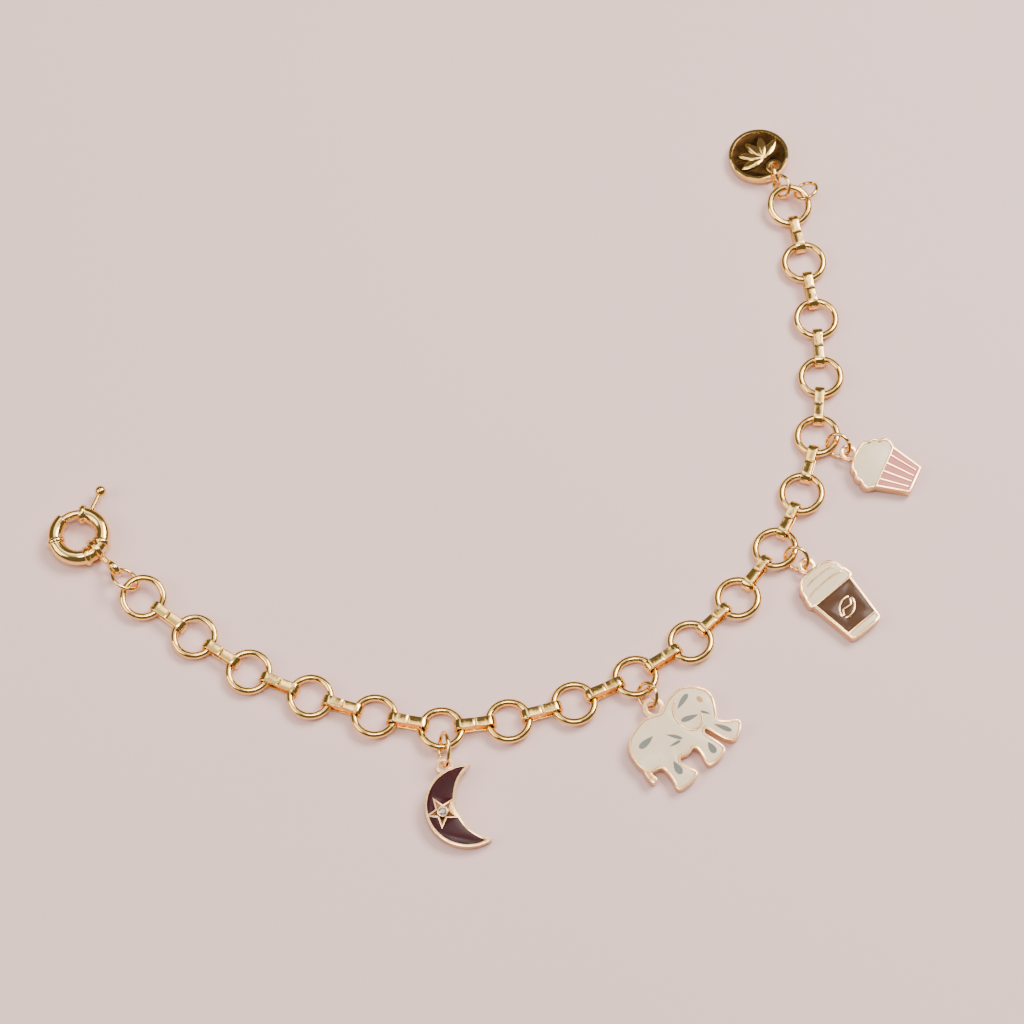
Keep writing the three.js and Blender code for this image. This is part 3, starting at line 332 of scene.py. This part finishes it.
def closed_by_mirror(half, overlap=0):
    """A profile completed by its mirror image.

    Its last points, as many as the overlap says, lie on the mirror line and aren't repeated.
    """
    off_line = half[: len(half) - overlap]
    return half + [(radius, -height) for radius, height in reversed(off_line)]


def node_points(name):
    mesh = frame["nodes"][name].data
    flat = np.zeros(len(mesh.vertices) * 3)
    mesh.vertices.foreach_get("co", flat)
    return np.unique(np.round(flat.reshape(-1, 3), 7), axis=0)


def ring_place(name):
    """Where a round ring lies: its middle, and the way its faces look."""
    points = node_points(name)
    middle = points.mean(axis=0)
    spread = np.linalg.eigh(np.cov((points - middle).T))
    facing = Vector(spread[1][:, 0])
    if facing.z < 0:
        facing.negate()
    turn = UP.rotation_difference(facing).to_matrix().to_4x4()
    reach = np.linalg.norm(points - middle, axis=1).max()
    return Matrix.Translation(Vector(middle)) @ turn, reach


def flat_facing(name):
    """The upward direction of a flat node's largest face."""
    largest = max(frame["nodes"][name].data.polygons, key=lambda face: face.area)
    facing = largest.normal.copy()
    return facing if facing.z > 0 else -facing


def link_place(name):
    points = node_points(name)
    middle = Vector((points.min(axis=0) + points.max(axis=0)) / 2)
    spread = np.linalg.eigh(np.cov((points - points.mean(axis=0)).T))
    along = Vector(spread[1][:, 2])
    facing = flat_facing(name)
    along = (along - facing * along.dot(facing)).normalized()
    across = facing.cross(along)
    turn = Matrix((along, across, facing)).transposed().to_4x4()
    return Matrix.Translation(middle) @ turn


def charm_place(name, turn_degrees, left=None, top=None):
    """A charm's own frame on its CAD plate.

    Its left and top edges are given; otherwise it is centred across and stands on its foot.
    """
    turn = UP.rotation_difference(flat_facing(name)) @ Quaternion(UP, math.radians(turn_degrees))
    local = node_points(name) @ np.array(turn.to_matrix())
    low = local.min(axis=0)
    high = local.max(axis=0)
    x = (low[0] + high[0]) / 2 if left is None else low[0] - left
    y = low[1] if top is None else high[1] - top
    origin = turn @ Vector((x, y, low[2]))
    return Matrix.Translation(origin) @ turn.to_matrix().to_4x4()


def eased_copy(name, source, materials, width, segments=2, floor=None):
    """A copy of a CAD plate with whole flat faces and eased edges.

    Where a floor is given, the level faces between its two heights take the second material.
    """
    bm = bmesh.new()
    bm.from_mesh(frame["nodes"][source].data)
    bmesh.ops.remove_doubles(bm, verts=bm.verts, dist=PLATE_WELD)
    bmesh.ops.dissolve_degenerate(bm, edges=bm.edges, dist=WELD)
    bmesh.ops.dissolve_limit(
        bm,
        angle_limit=FLAT_ANGLE,
        use_dissolve_boundaries=False,
        verts=bm.verts,
        edges=bm.edges,
        delimit=set(),
    )
    facing = flat_facing(source)
    back = min(corner.co.dot(facing) for corner in bm.verts)
    for face in bm.faces:
        if abs(face.normal.dot(facing)) > LEVEL:
            heights = sorted(corner.co.dot(facing) for corner in face.verts)
            for corner in face.verts:
                corner.co += facing * (heights[len(heights) // 2] - corner.co.dot(facing))
    joined = [edge for edge in bm.edges if edge.is_manifold]
    creases = [edge for edge in joined if edge.calc_face_angle() > CREASE_ANGLE]
    bmesh.ops.bevel(
        bm,
        geom=creases,
        offset=width,
        segments=segments,
        profile=0.5,
        affect="EDGES",
        clamp_overlap=True,
        material=-1,
    )
    bm.normal_update()
    level = [abs(face.normal.dot(facing)) > LEVEL for face in bm.faces]
    for face, is_level in zip(bm.faces, level):
        height = face.calc_center_median().dot(facing) - back
        # Painted shade: the level faces of a sunk floor take the second material, a darker gold standing
        # in for the shade in the recess
        if floor and is_level and floor[0] < height < floor[1]:
            face.material_index = 1
    piece = new_piece(name, bm, materials, "bracelet", [source])
    for face, is_level in zip(piece.data.polygons, level):
        face.use_smooth = not is_level
    piece.data.set_sharp_from_angle(angle=SHARP_ANGLE)


# Shader helpers


class Value:
    """A shader socket that can be used in sums."""

    def __init__(self, finish, socket):
        self.finish = finish
        self.socket = socket

    def _math(self, operation, first, second):
        return self.finish.node("ShaderNodeMath", {"operation": operation}, {0: first, 1: second})[0]

    def __add__(self, other):
        return self._math("ADD", self, other)

    def __radd__(self, other):
        return self._math("ADD", other, self)

    def __mul__(self, other):
        return self._math("MULTIPLY", self, other)

    def __rmul__(self, other):
        return self._math("MULTIPLY", other, self)


class Finish:
    """One procedural material."""

    def __init__(self, name):
        self.material = bpy.data.materials.new(name)
        self.material.use_nodes = True
        self.tree = self.material.node_tree
        self.shader = self.tree.nodes["Principled BSDF"]

    def node(self, kind, settings=None, sockets=None):
        made = self.tree.nodes.new(kind)
        for key, value in (settings or {}).items():
            setattr(made, key, value)
        for key, value in (sockets or {}).items():
            self.feed(made.inputs[key], value)
        return [Value(self, output) for output in made.outputs]

    def feed(self, socket, value):
        if isinstance(value, Value):
            self.tree.links.new(value.socket, socket)
        else:
            socket.default_value = value

    def set(self, **values):
        for key, value in values.items():
            self.feed(self.shader.inputs[key.replace("_", " ")], value)

    def place(self, stretch):
        """Object coordinates in millimetres, which are output 3 of their node."""
        coordinates = self.node("ShaderNodeTexCoord")[3]
        scale = tuple(part / MM for part in stretch)
        return self.node("ShaderNodeMapping", None, {"Vector": coordinates, "Scale": scale})[0]

    def noise(self, scale, detail, roughness=0.5, stretch=(1, 1, 1)):
        """Noise whose scale is in blotches to a millimetre."""
        sockets = {
            "Vector": self.place(stretch),
            "Scale": scale,
            "Detail": detail,
            "Roughness": roughness,
        }
        return self.node("ShaderNodeTexNoise", None, sockets)[0]

    def range(self, value, low, high, to_low=0.0, to_high=1.0):
        sockets = {
            "Value": value,
            "From Min": low,
            "From Max": high,
            "To Min": to_low,
            "To Max": to_high,
        }
        return self.node("ShaderNodeMapRange", None, sockets)[0]

    def blend(self, factor, first, second):
        """A mix of two colours, which are inputs 6 and 7 and output 2 of their node."""
        sockets = {"Factor": factor, 6: first, 7: second}
        return self.node("ShaderNodeMix", {"data_type": "RGBA"}, sockets)[2]

    def bump(self, height, distance):
        sockets = {"Height": height, "Distance": distance, "Strength": 1.0}
        self.set(Normal=self.node("ShaderNodeBump", None, sockets)[0])


def colour(red, green, blue):
    """An sRGB colour of 0 to 255 as linear light."""
    parts = [part / 255 for part in (red, green, blue)]
    linear = [p / 12.92 if p <= 0.04045 else ((p + 0.055) / 1.055) ** 2.4 for p in parts]
    return (*linear, 1.0)


def polished_metal(name, bright, deep, smooth, dull, ripple):
    """Plated metal: slow changes of tone, a faint haze of handling and a slightly uneven polish."""
    finish = Finish(name)
    tone = finish.noise(0.35, 2.0)
    haze = finish.noise(2.6, 5.0, 0.6)
    finish.set(Base_Color=finish.blend(finish.range(tone, 0.3, 0.7), bright, deep))
    finish.set(Metallic=1.0, Roughness=finish.range(haze, 0.35, 0.7, smooth, dull))
    wave = finish.noise(1.1, 2.0)
    scratch = finish.noise(9.0, 2.0, 0.5, (1, 6, 1))
    finish.bump(wave + scratch * 0.08, ripple * MM)
    return finish.material


def glossy_enamel(name, base, cloud, speckle, gloss, clear):
    """Fired enamel: a slightly clouded, specked colour under a clear gloss, with a faint orange peel."""
    finish = Finish(name)
    drift = finish.noise(0.55, 3.0)
    speck = finish.noise(7.0, 2.0)
    mixed = finish.blend(finish.range(drift, 0.32, 0.68), base, cloud)
    finish.set(Base_Color=finish.blend(finish.range(speck, 0.62, 0.72, 0.0, 0.25), mixed, speckle))
    finish.set(Roughness=finish.range(drift, 0.3, 0.7, 0.24, 0.34))
    finish.set(Specular_IOR_Level=gloss, Coat_Weight=clear, Coat_Roughness=0.08, Coat_IOR=1.4)
    finish.bump(finish.noise(0.9, 1.0), 0.006 * MM)
    return finish.material


def cut_crystal():
    """Clear stone over a bright back, so it is part mirror and part glass."""
    finish = Finish("cut_crystal")
    tint = finish.noise(3.0, 1.0)
    finish.set(Base_Color=finish.blend(tint, colour(255, 250, 242), colour(250, 242, 232)))
    finish.set(Metallic=0.65, Roughness=0.02, IOR=2.3, Transmission_Weight=0.6)
    return finish.material


chain_gold = polished_metal(
    "polished_gold", colour(255, 217, 132), colour(252, 203, 110), 0.07, 0.14, 0.02
)
cast_gold = polished_metal(
    "pale_rose_gold", colour(246, 202, 144), colour(234, 184, 122), 0.16, 0.27, 0.02
)
# Painted shade: a darker, duller gold for the moon's sunk star floor, standing in for the shade in its
# recess
sunk_gold_painted_shade = polished_metal("sunk_gold_painted_shade", colour(124, 80, 50), colour(88, 54, 32), 0.3, 0.45, 0.05)
# Painted shade: a dark gold for the tag's dished ground, standing in for the shade in the dish
tag_ground_painted_shade = polished_metal("tag_ground_painted_shade", colour(84, 58, 28), colour(54, 36, 17), 0.26, 0.4, 0.05)
maroon = glossy_enamel(
    "maroon_enamel", colour(60, 10, 15), colour(48, 6, 10), colour(32, 4, 7), 0.14, 0.08
)
ivory = glossy_enamel(
    "ivory_enamel", colour(255, 230, 189), colour(252, 222, 178), colour(240, 205, 159), 0.3, 0.15
)
brown = glossy_enamel(
    "coffee_brown_enamel", colour(88, 56, 31), colour(75, 46, 25), colour(58, 34, 19), 0.14, 0.08
)
pink = glossy_enamel(
    "blush_pink_enamel", colour(234, 146, 138), colour(226, 134, 128), colour(210, 118, 113), 0.3, 0.15
)
grey = glossy_enamel(
    "soft_grey_enamel", colour(124, 126, 115), colour(110, 113, 103), colour(94, 97, 89), 0.3, 0.15
)
tan = glossy_enamel(
    "tan_enamel", colour(222, 160, 88), colour(212, 148, 78), colour(196, 134, 68), 0.3, 0.15
)
crystal = cut_crystal()


# Chain


def chain_ring(name):
    place, reach = ring_place(name)
    bm = swept_circle(reach - RING_WIRE / 2, RING_WIRE, 0, 360, 64, 20)
    new_piece(name + "_polished", moved(bm, place), [chain_gold], "bracelet", [name])


def jump_ring(name, diameter, cut_degrees):
    """A round wire ring whose two ends meet at a fine cut."""
    place, _ = ring_place(name)
    middle = (diameter - JUMP_WIRE) / 2
    start = cut_degrees + JUMP_CUT / 2
    end = cut_degrees + 360 - JUMP_CUT / 2
    bm = swept_circle(middle, JUMP_WIRE, start, end, 48, 16)
    new_piece(name + "_wire", moved(bm, place), [chain_gold], "bracelet", [name])


def ribbon_link(name):
    """A flat strip bent round two rings, a little drawn in at its waist, its ends butted on top."""
    bm = bmesh.new()
    straight = (LINK_LENGTH - LINK_HEIGHT) / 2
    half = LINK_WIDTH / 2
    top = LINK_HEIGHT / 2
    under = top - LINK_THICKNESS
    corners = [
        bm.verts.new((RIBBON_SEAM / 2, side, height))
        for side, height in ((-half, top), (half, top), (half, under), (-half, under))
    ]
    bm.faces.new(corners)
    bmesh.ops.bevel(
        bm,
        geom=bm.verts[:],
        offset=RIBBON_EDGE,
        segments=4,
        profile=0.5,
        affect="VERTICES",
        material=-1,
    )
    bmesh.ops.delete(bm, geom=bm.faces[:], context="FACES_ONLY")
    section = bm.edges[:]

    def run(edges, length):
        for _ in range(RIBBON_STEPS):
            drawn = bmesh.ops.extrude_edge_only(bm, edges=edges)["geom"]
            ahead = [item for item in drawn if isinstance(item, bmesh.types.BMVert)]
            bmesh.ops.translate(bm, verts=ahead, vec=(length / RIBBON_STEPS, 0, 0))
            edges = [item for item in drawn if isinstance(item, bmesh.types.BMEdge)]
        return edges

    def bend(edges, centre):
        verts = list(dict.fromkeys(corner for edge in edges for corner in edge.verts))
        turned = bmesh.ops.spin(
            bm,
            geom=verts + edges,
            cent=(centre, 0, 0),
            axis=(0, 1, 0),
            angle=math.pi,
            steps=RIBBON_BEND_STEPS,
            use_merge=False,
            use_duplicate=False,
        )
        return [item for item in turned["geom_last"] if isinstance(item, bmesh.types.BMEdge)]

    section = run(section, straight - RIBBON_SEAM / 2)
    section = bend(section, straight)
    section = run(section, -straight)
    section = run(section, -straight)
    section = bend(section, -straight)
    run(section, straight - RIBBON_SEAM / 2)
    with_filled_ends(bm)
    for corner in bm.verts:
        waist = RIBBON_WAIST * max(0.0, 1 - (corner.co.x / straight) ** 2)
        corner.co.y *= 1 - waist
        corner.co.z *= 1 - waist
    ease_end_faces(bm, RIBBON_END_EASE, 2)
    moved(bm, link_place(name))
    new_piece(name + "_ribbon", bm, [chain_gold], "bracelet", [name])


# Clasp

clasp_centre = Vector(frame["joints"][0]["pos_m"])
clasp_place = Matrix.Translation(clasp_centre) @ about("Z", CLASP_TURN)


def on_clasp_ring(degrees):
    """A place on the middle of the clasp's tube, with Z along the tube."""
    return about("Z", degrees) @ Matrix.Translation((CLASP_MIDDLE, 0, 0)) @ about("X", -90)


def collar():
    """A round bead with a fine step at each side."""
    half = COLLAR_WIDTH / 2
    outer = COLLAR_DIAMETER / 2
    tube = CLASP_TUBE / 2
    step = tube + COLLAR_STEP
    crown = outer - step
    bead = COLLAR_BEAD * half
    side = [(tube - COLLAR_SUNK, -half), (step, -half), (step + COLLAR_SHOULDER, -bead)]
    for degrees in (65, 50, 35, 20, 0):
        angle = math.radians(degrees)
        side.append((step + crown * math.cos(angle), -bead * math.sin(angle)))
    return spun(outline(closed_by_mirror(side, overlap=1)), 360, 36)


def cut_away(bm, cutter):
    """Takes one closed shape out of another."""
    objects = []
    for shape in (bm, cutter):
        mesh = bpy.data.meshes.new("shape")
        shape.to_mesh(mesh)
        shape.free()
        piece = bpy.data.objects.new("shape", mesh)
        bpy.context.scene.collection.objects.link(piece)
        objects.append(piece)
    kept, taken = objects
    cut = kept.modifiers.new("cut", "BOOLEAN")
    cut.operation = "DIFFERENCE"
    cut.solver = "EXACT"
    cut.object = taken
    bpy.context.view_layer.update()
    result = bmesh.new()
    result.from_object(kept, bpy.context.evaluated_depsgraph_get())
    for piece in objects:
        mesh = piece.data
        bpy.data.objects.remove(piece)
        bpy.data.meshes.remove(mesh)
    return result


def clasp_tube():
    """The clasp's hollow tube, open at its mouth and its catch, with a slot for the lever."""
    bm = swept_circle(CLASP_MIDDLE, CLASP_TUBE, GATE_CATCH, 360 + GATE_MOUTH, 88, 28)
    ease_end_faces(bm, TUBE_END_EASE, 4)
    for start, end in (
        (GATE_TAIL - GATE_TRAVEL - BORE_PAST_MOUTH, GATE_MOUTH + BORE_PAST_MOUTH),
        (GATE_CATCH - BORE_PAST_MOUTH, GATE_TIP + BORE_PAST_MOUTH),
    ):
        bm = cut_away(bm, swept_circle(CLASP_MIDDLE, CLASP_BORE, start, end, 30, 24))
    low = LEVER_ANGLE - GATE_TRAVEL - SLOT_MARGIN
    high = LEVER_ANGLE + SLOT_MARGIN
    half = [(CLASP_MIDDLE, -SLOT_HALF), (2 * CLASP_MIDDLE, -SLOT_HALF)]
    slot = moved(outline(closed_by_mirror(half)), about("Z", low))
    return cut_away(bm, spun(slot, high - low, 20))


def clasp_body():
    bm = clasp_tube()
    for degrees in COLLAR_ANGLES:
        added(bm, collar(), on_clasp_ring(degrees))
    moved(bm, clasp_place)
    piece = new_piece("clasp_body_polished", bm, [chain_gold], "bracelet", ["clasp_body"])
    piece.data.set_sharp_from_angle(angle=SHARP_ANGLE)


def clasp_gate():
    """The sliding gate: a bent rod, its lever and the lever's ball."""
    bm = swept_circle(CLASP_MIDDLE, GATE_WIRE, GATE_TAIL, GATE_TIP, 32, 20)
    ease_end_faces(bm, GATE_END_EASE, 4)
    lever = about("Z", LEVER_ANGLE) @ about("Y", 90)
    stem = cone(LEVER_WIRE / 2, LEVER_WIRE / 2 * LEVER_TAPER, CLASP_MIDDLE, LEVER_REACH)
    added(bm, stem, lever)
    ball = bmesh.new()
    bmesh.ops.create_uvsphere(ball, u_segments=28, v_segments=18, radius=LEVER_BALL / 2)
    added(bm, ball, lever @ Matrix.Translation((0, 0, LEVER_REACH)))
    moved(bm, clasp_place)
    piece = new_piece("clasp_gate_polished", bm, [chain_gold], "gate", ["clasp_gate"])
    piece.data.set_sharp_from_angle(angle=ROD_SHARP_ANGLE)


def clasp_bail():
    """The flat bail round the tube, with a round eye on a short neck."""
    half = BAIL_WIDTH / 2
    bite = BAIL_EDGE_BITE * BAIL_EDGE
    profile = [
        (BAIL_INNER, BAIL_EDGE - half),
        (BAIL_INNER + bite, bite - half),
        (BAIL_INNER + BAIL_EDGE, -half),
        (BAIL_OUTER - BAIL_EDGE, -half),
        (BAIL_OUTER - bite, bite - half),
        (BAIL_OUTER, BAIL_EDGE - half),
    ]
    bm = spun(outline(closed_by_mirror(profile)), 360, 48)
    eye_middle = (BAIL_EYE_DIAMETER - BAIL_EYE_WIRE) / 2
    eye = swept_circle(eye_middle, BAIL_EYE_WIRE, 0, 360, 40, 16)
    added(bm, eye, Matrix.Translation((BAIL_REACH, 0, 0)) @ Matrix.Diagonal((1, 1, BAIL_EYE_SPREAD, 1)))
    neck_start = (BAIL_INNER + BAIL_OUTER) / 2
    root = BAIL_EYE_WIRE * BAIL_NECK_ROOT
    tip = BAIL_EYE_WIRE * BAIL_NECK_TIP
    neck = cone(root, tip, neck_start, BAIL_REACH - eye_middle)
    added(bm, neck, about("Y", 90))
    centre = clasp_centre + about("Z", CLASP_TURN + BAIL_ANGLE) @ Vector((CLASP_MIDDLE, 0, 0))
    centre.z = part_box("clasp_bail")[0].z + BAIL_OUTER
    moved(bm, Matrix.Translation(centre) @ about("Z", BAIL_DIRECTION) @ about("X", 90))
    piece = new_piece("clasp_bail_polished", bm, [chain_gold], "bracelet", ["clasp_bail"])
    piece.data.set_sharp_from_angle(angle=ROD_SHARP_ANGLE)


# Charms


def cut_stone(place):
    """A round brilliant: a table, star and main facets, a girdle and a pavilion, in a wire bezel."""
    bm = bmesh.new()
    for count, reach, height, turn in STONE_RINGS:
        lift = Matrix.Translation((0, 0, height * STONE_HEIGHT)) @ about("Z", turn)
        radius = reach * STONE_RADIUS
        bmesh.ops.create_circle(bm, cap_ends=False, segments=count, radius=radius, matrix=lift)
    bm.verts.new((0, 0, STONE_POINT * STONE_HEIGHT))
    bmesh.ops.delete(bm, geom=bm.edges[:], context="EDGES_FACES")
    hull = bmesh.ops.convex_hull(bm, input=bm.verts)
    bmesh.ops.delete(bm, geom=hull["geom_unused"] + hull["geom_interior"], context="VERTS")
    bmesh.ops.dissolve_limit(bm, angle_limit=FACET_ANGLE, verts=bm.verts, edges=bm.edges)
    moved(bm, place)
    new_piece("moon_stone_cut", bm, [crystal], "bracelet", ["moon_stone"], smooth=False)
    bezel = swept_circle(STONE_RADIUS + BEZEL_WIRE * BEZEL_OVERLAP, BEZEL_WIRE, 0, 360, 40, 12)
    new_piece("moon_stone_bezel", moved(bezel, place), [cast_gold], "bracelet", [])


def moon():
    finishes = [cast_gold, sunk_gold_painted_shade]
    # The star's sunk floor takes the darker gold of painted shade
    eased_copy(
        "moon_frame_cast", "moon_frame", finishes, LARGE_CAST_EASE, 3, STAR_FLOOR
    )
    for name in ("moon_enamel_upper", "moon_enamel_lower"):
        eased_copy(name + "_fired", name, [maroon], MOON_ENAMEL_EASE)
    low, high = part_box("moon_stone")
    facing = flat_facing("moon_frame")
    seat = Matrix.Translation((low + high) / 2 + facing * STONE_LIFT * STONE_HEIGHT)
    cut_stone(seat @ UP.rotation_difference(facing).to_matrix().to_4x4())


def leaf_inlay(x, y, length, width, turn_degrees, curl):
    """A teardrop of coloured enamel that stands a hair above the ground enamel, sizes in millimetres."""
    leaf = bmesh.new()
    bmesh.ops.create_circle(leaf, cap_ends=True, segments=28, radius=0.5)
    for corner in leaf.verts:
        along = corner.co.x + 0.5
        corner.co.y *= LEAF_TAPER * math.sqrt(max(0.0, 1 - along))
        corner.co.y += curl * along * along
    grown = bmesh.ops.extrude_face_region(leaf, geom=leaf.faces[:])["geom"]
    lifted = [item for item in grown if isinstance(item, bmesh.types.BMVert)]
    bmesh.ops.translate(leaf, verts=lifted, vec=(0, 0, 1))
    bmesh.ops.recalc_face_normals(leaf, faces=leaf.faces)
    size = Matrix.Diagonal((length * MM, width * MM, LEAF_DEPTH, 1))
    lift = Matrix.Translation((x * MM, y * MM, ENAMEL_TOP - LEAF_SINK))
    return moved(leaf, lift @ about("Z", turn_degrees) @ size)


def elephant():
    finishes = [cast_gold]
    eased_copy("elephant_frame_cast", "elephant_frame", finishes, LARGE_CAST_EASE, 3)
    eased_copy("elephant_enamel_fired", "elephant_enamel", [ivory], ENAMEL_EASE)
    place = charm_place("elephant_frame", ELEPHANT_TURN, ELEPHANT_LEFT, ELEPHANT_TOP)
    leaves = bmesh.new()
    for leaf in ELEPHANT_LEAVES:
        added(leaves, leaf_inlay(*leaf), place)
    new_piece("elephant_leaves", leaves, [grey], "bracelet", [], smooth=False)
    eye = bmesh.new()
    bmesh.ops.create_uvsphere(eye, u_segments=20, v_segments=12, radius=0.5)
    lift = Matrix.Translation((*ELEPHANT_EYE, ENAMEL_TOP))
    moved(eye, place @ lift @ Matrix.Diagonal((*ELEPHANT_EYE_SIZE, 1)))
    new_piece("elephant_eye", eye, [tan], "bracelet", [])


def cup():
    eased_copy("cup_frame_cast", "cup_frame", [cast_gold], SMALL_CAST_EASE)
    for name, slot, material in (
        ("cup_foot_enamel", "ivory_enamel", ivory),
        ("cup_sleeve_enamel", "brown_enamel", brown),
        ("cup_lid_enamel", "ivory_enamel", ivory),
    ):
        eased_copy(name + "_fired", name, [material], ENAMEL_EASE)


def cupcake():
    eased_copy("cupcake_frame_cast", "cupcake_frame", [cast_gold], SMALL_CAST_EASE)
    for name, slot, material in (
        ("cupcake_case_enamel", "pink_enamel", pink),
        ("cupcake_icing_enamel", "ivory_enamel", ivory),
    ):
        eased_copy(name + "_fired", name, [material], ENAMEL_EASE)


def tag():
    """A dished disc whose sunk ground is painted dark gold as shade, and five leaves that fan out from
    beside its hole.
    """
    finishes = [chain_gold, tag_ground_painted_shade]
    eased_copy("tag_disc_polished", "tag_disc", finishes, TAG_EASE, 3, TAG_FLOOR)
    place = charm_place("tag_disc", TAG_TURN)
    root = place @ Matrix.Translation((0, TAG_LEAF_ROOT, TAG_TOP - TAG_LEAF_SINK))
    outwards = Matrix.Translation((0, TAG_LEAF_MIDDLE, 0)) @ Matrix.Diagonal((*TAG_LEAF_SIZE, 1))
    leaves = bmesh.new()
    for number in range(TAG_LEAVES):
        turn = 180 + (number - (TAG_LEAVES - 1) / 2) * TAG_LEAF_SPREAD
        leaf = bmesh.new()
        bmesh.ops.create_uvsphere(leaf, u_segments=24, v_segments=16, radius=0.5)
        for corner in leaf.verts:
            corner.co.x *= 1 - TAG_LEAF_NARROWING * abs(corner.co.y) ** TAG_LEAF_POWER
        added(leaves, leaf, root @ about("Z", turn) @ outwards)
    new_piece("tag_leaf_domes", leaves, [chain_gold], "bracelet", [])


# Table, light and camera


def aimed(data, place, target):
    """Puts a lamp or a camera in the scene, looking at a point."""
    thing = bpy.data.objects.new(data.name, data)
    bpy.context.scene.collection.objects.link(thing)
    thing.location = place
    thing.rotation_euler = (Vector(target) - Vector(place)).to_track_quat("-Z", "Y").to_euler()
    return thing


def table():
    bm = bmesh.new()
    bmesh.ops.create_grid(bm, x_segments=2, y_segments=2, size=TABLE_HALF)
    mesh = bpy.data.meshes.new("table_top")
    bm.to_mesh(mesh)
    bm.free()
    top = bpy.data.objects.new("table_top", mesh)
    bpy.context.scene.collection.objects.link(top)
    finish = Finish("pale_table")
    cloud = finish.noise(0.006, 2.0)
    finish.set(Base_Color=finish.blend(cloud, colour(248, 212, 204), colour(243, 205, 197)))
    finish.set(Roughness=0.6)
    mesh.materials.append(finish.material)


def lamps():
    for name, place, width, height, power, tint in LAMPS:
        data = bpy.data.lights.new(name, "AREA")
        data.shape = "RECTANGLE"
        data.size = width
        data.size_y = height
        data.energy = power
        data.color = tint
        aimed(data, place, (0, 0, 0))
    world = bpy.data.worlds.new("studio")
    world.use_nodes = True
    background = world.node_tree.nodes["Background"]
    background.inputs["Color"].default_value = ROOM_LIGHT
    background.inputs["Strength"].default_value = ROOM_STRENGTH
    bpy.context.scene.world = world


def camera():
    data = bpy.data.cameras.new("camera")
    data.lens = CAMERA_LENS
    data.sensor_width = CAMERA_SENSOR
    data.clip_start = CAMERA_NEAR
    data.clip_end = CAMERA_FAR
    bpy.context.scene.camera = aimed(data, CAMERA_PLACE, CAMERA_TARGET)


camera()
table()
lamps()
for number in range(1, RING_COUNT + 1):
    chain_ring(f"ring_{number:02d}")
for number in range(1, LINK_COUNT + 1):
    ribbon_link(f"link_{number:02d}")
for ring_name, ring_diameter, ring_cut in JUMP_RINGS:
    jump_ring(ring_name, ring_diameter, ring_cut)
clasp_body()
clasp_gate()
clasp_bail()
moon()
elephant()
cup()
cupcake()
tag()
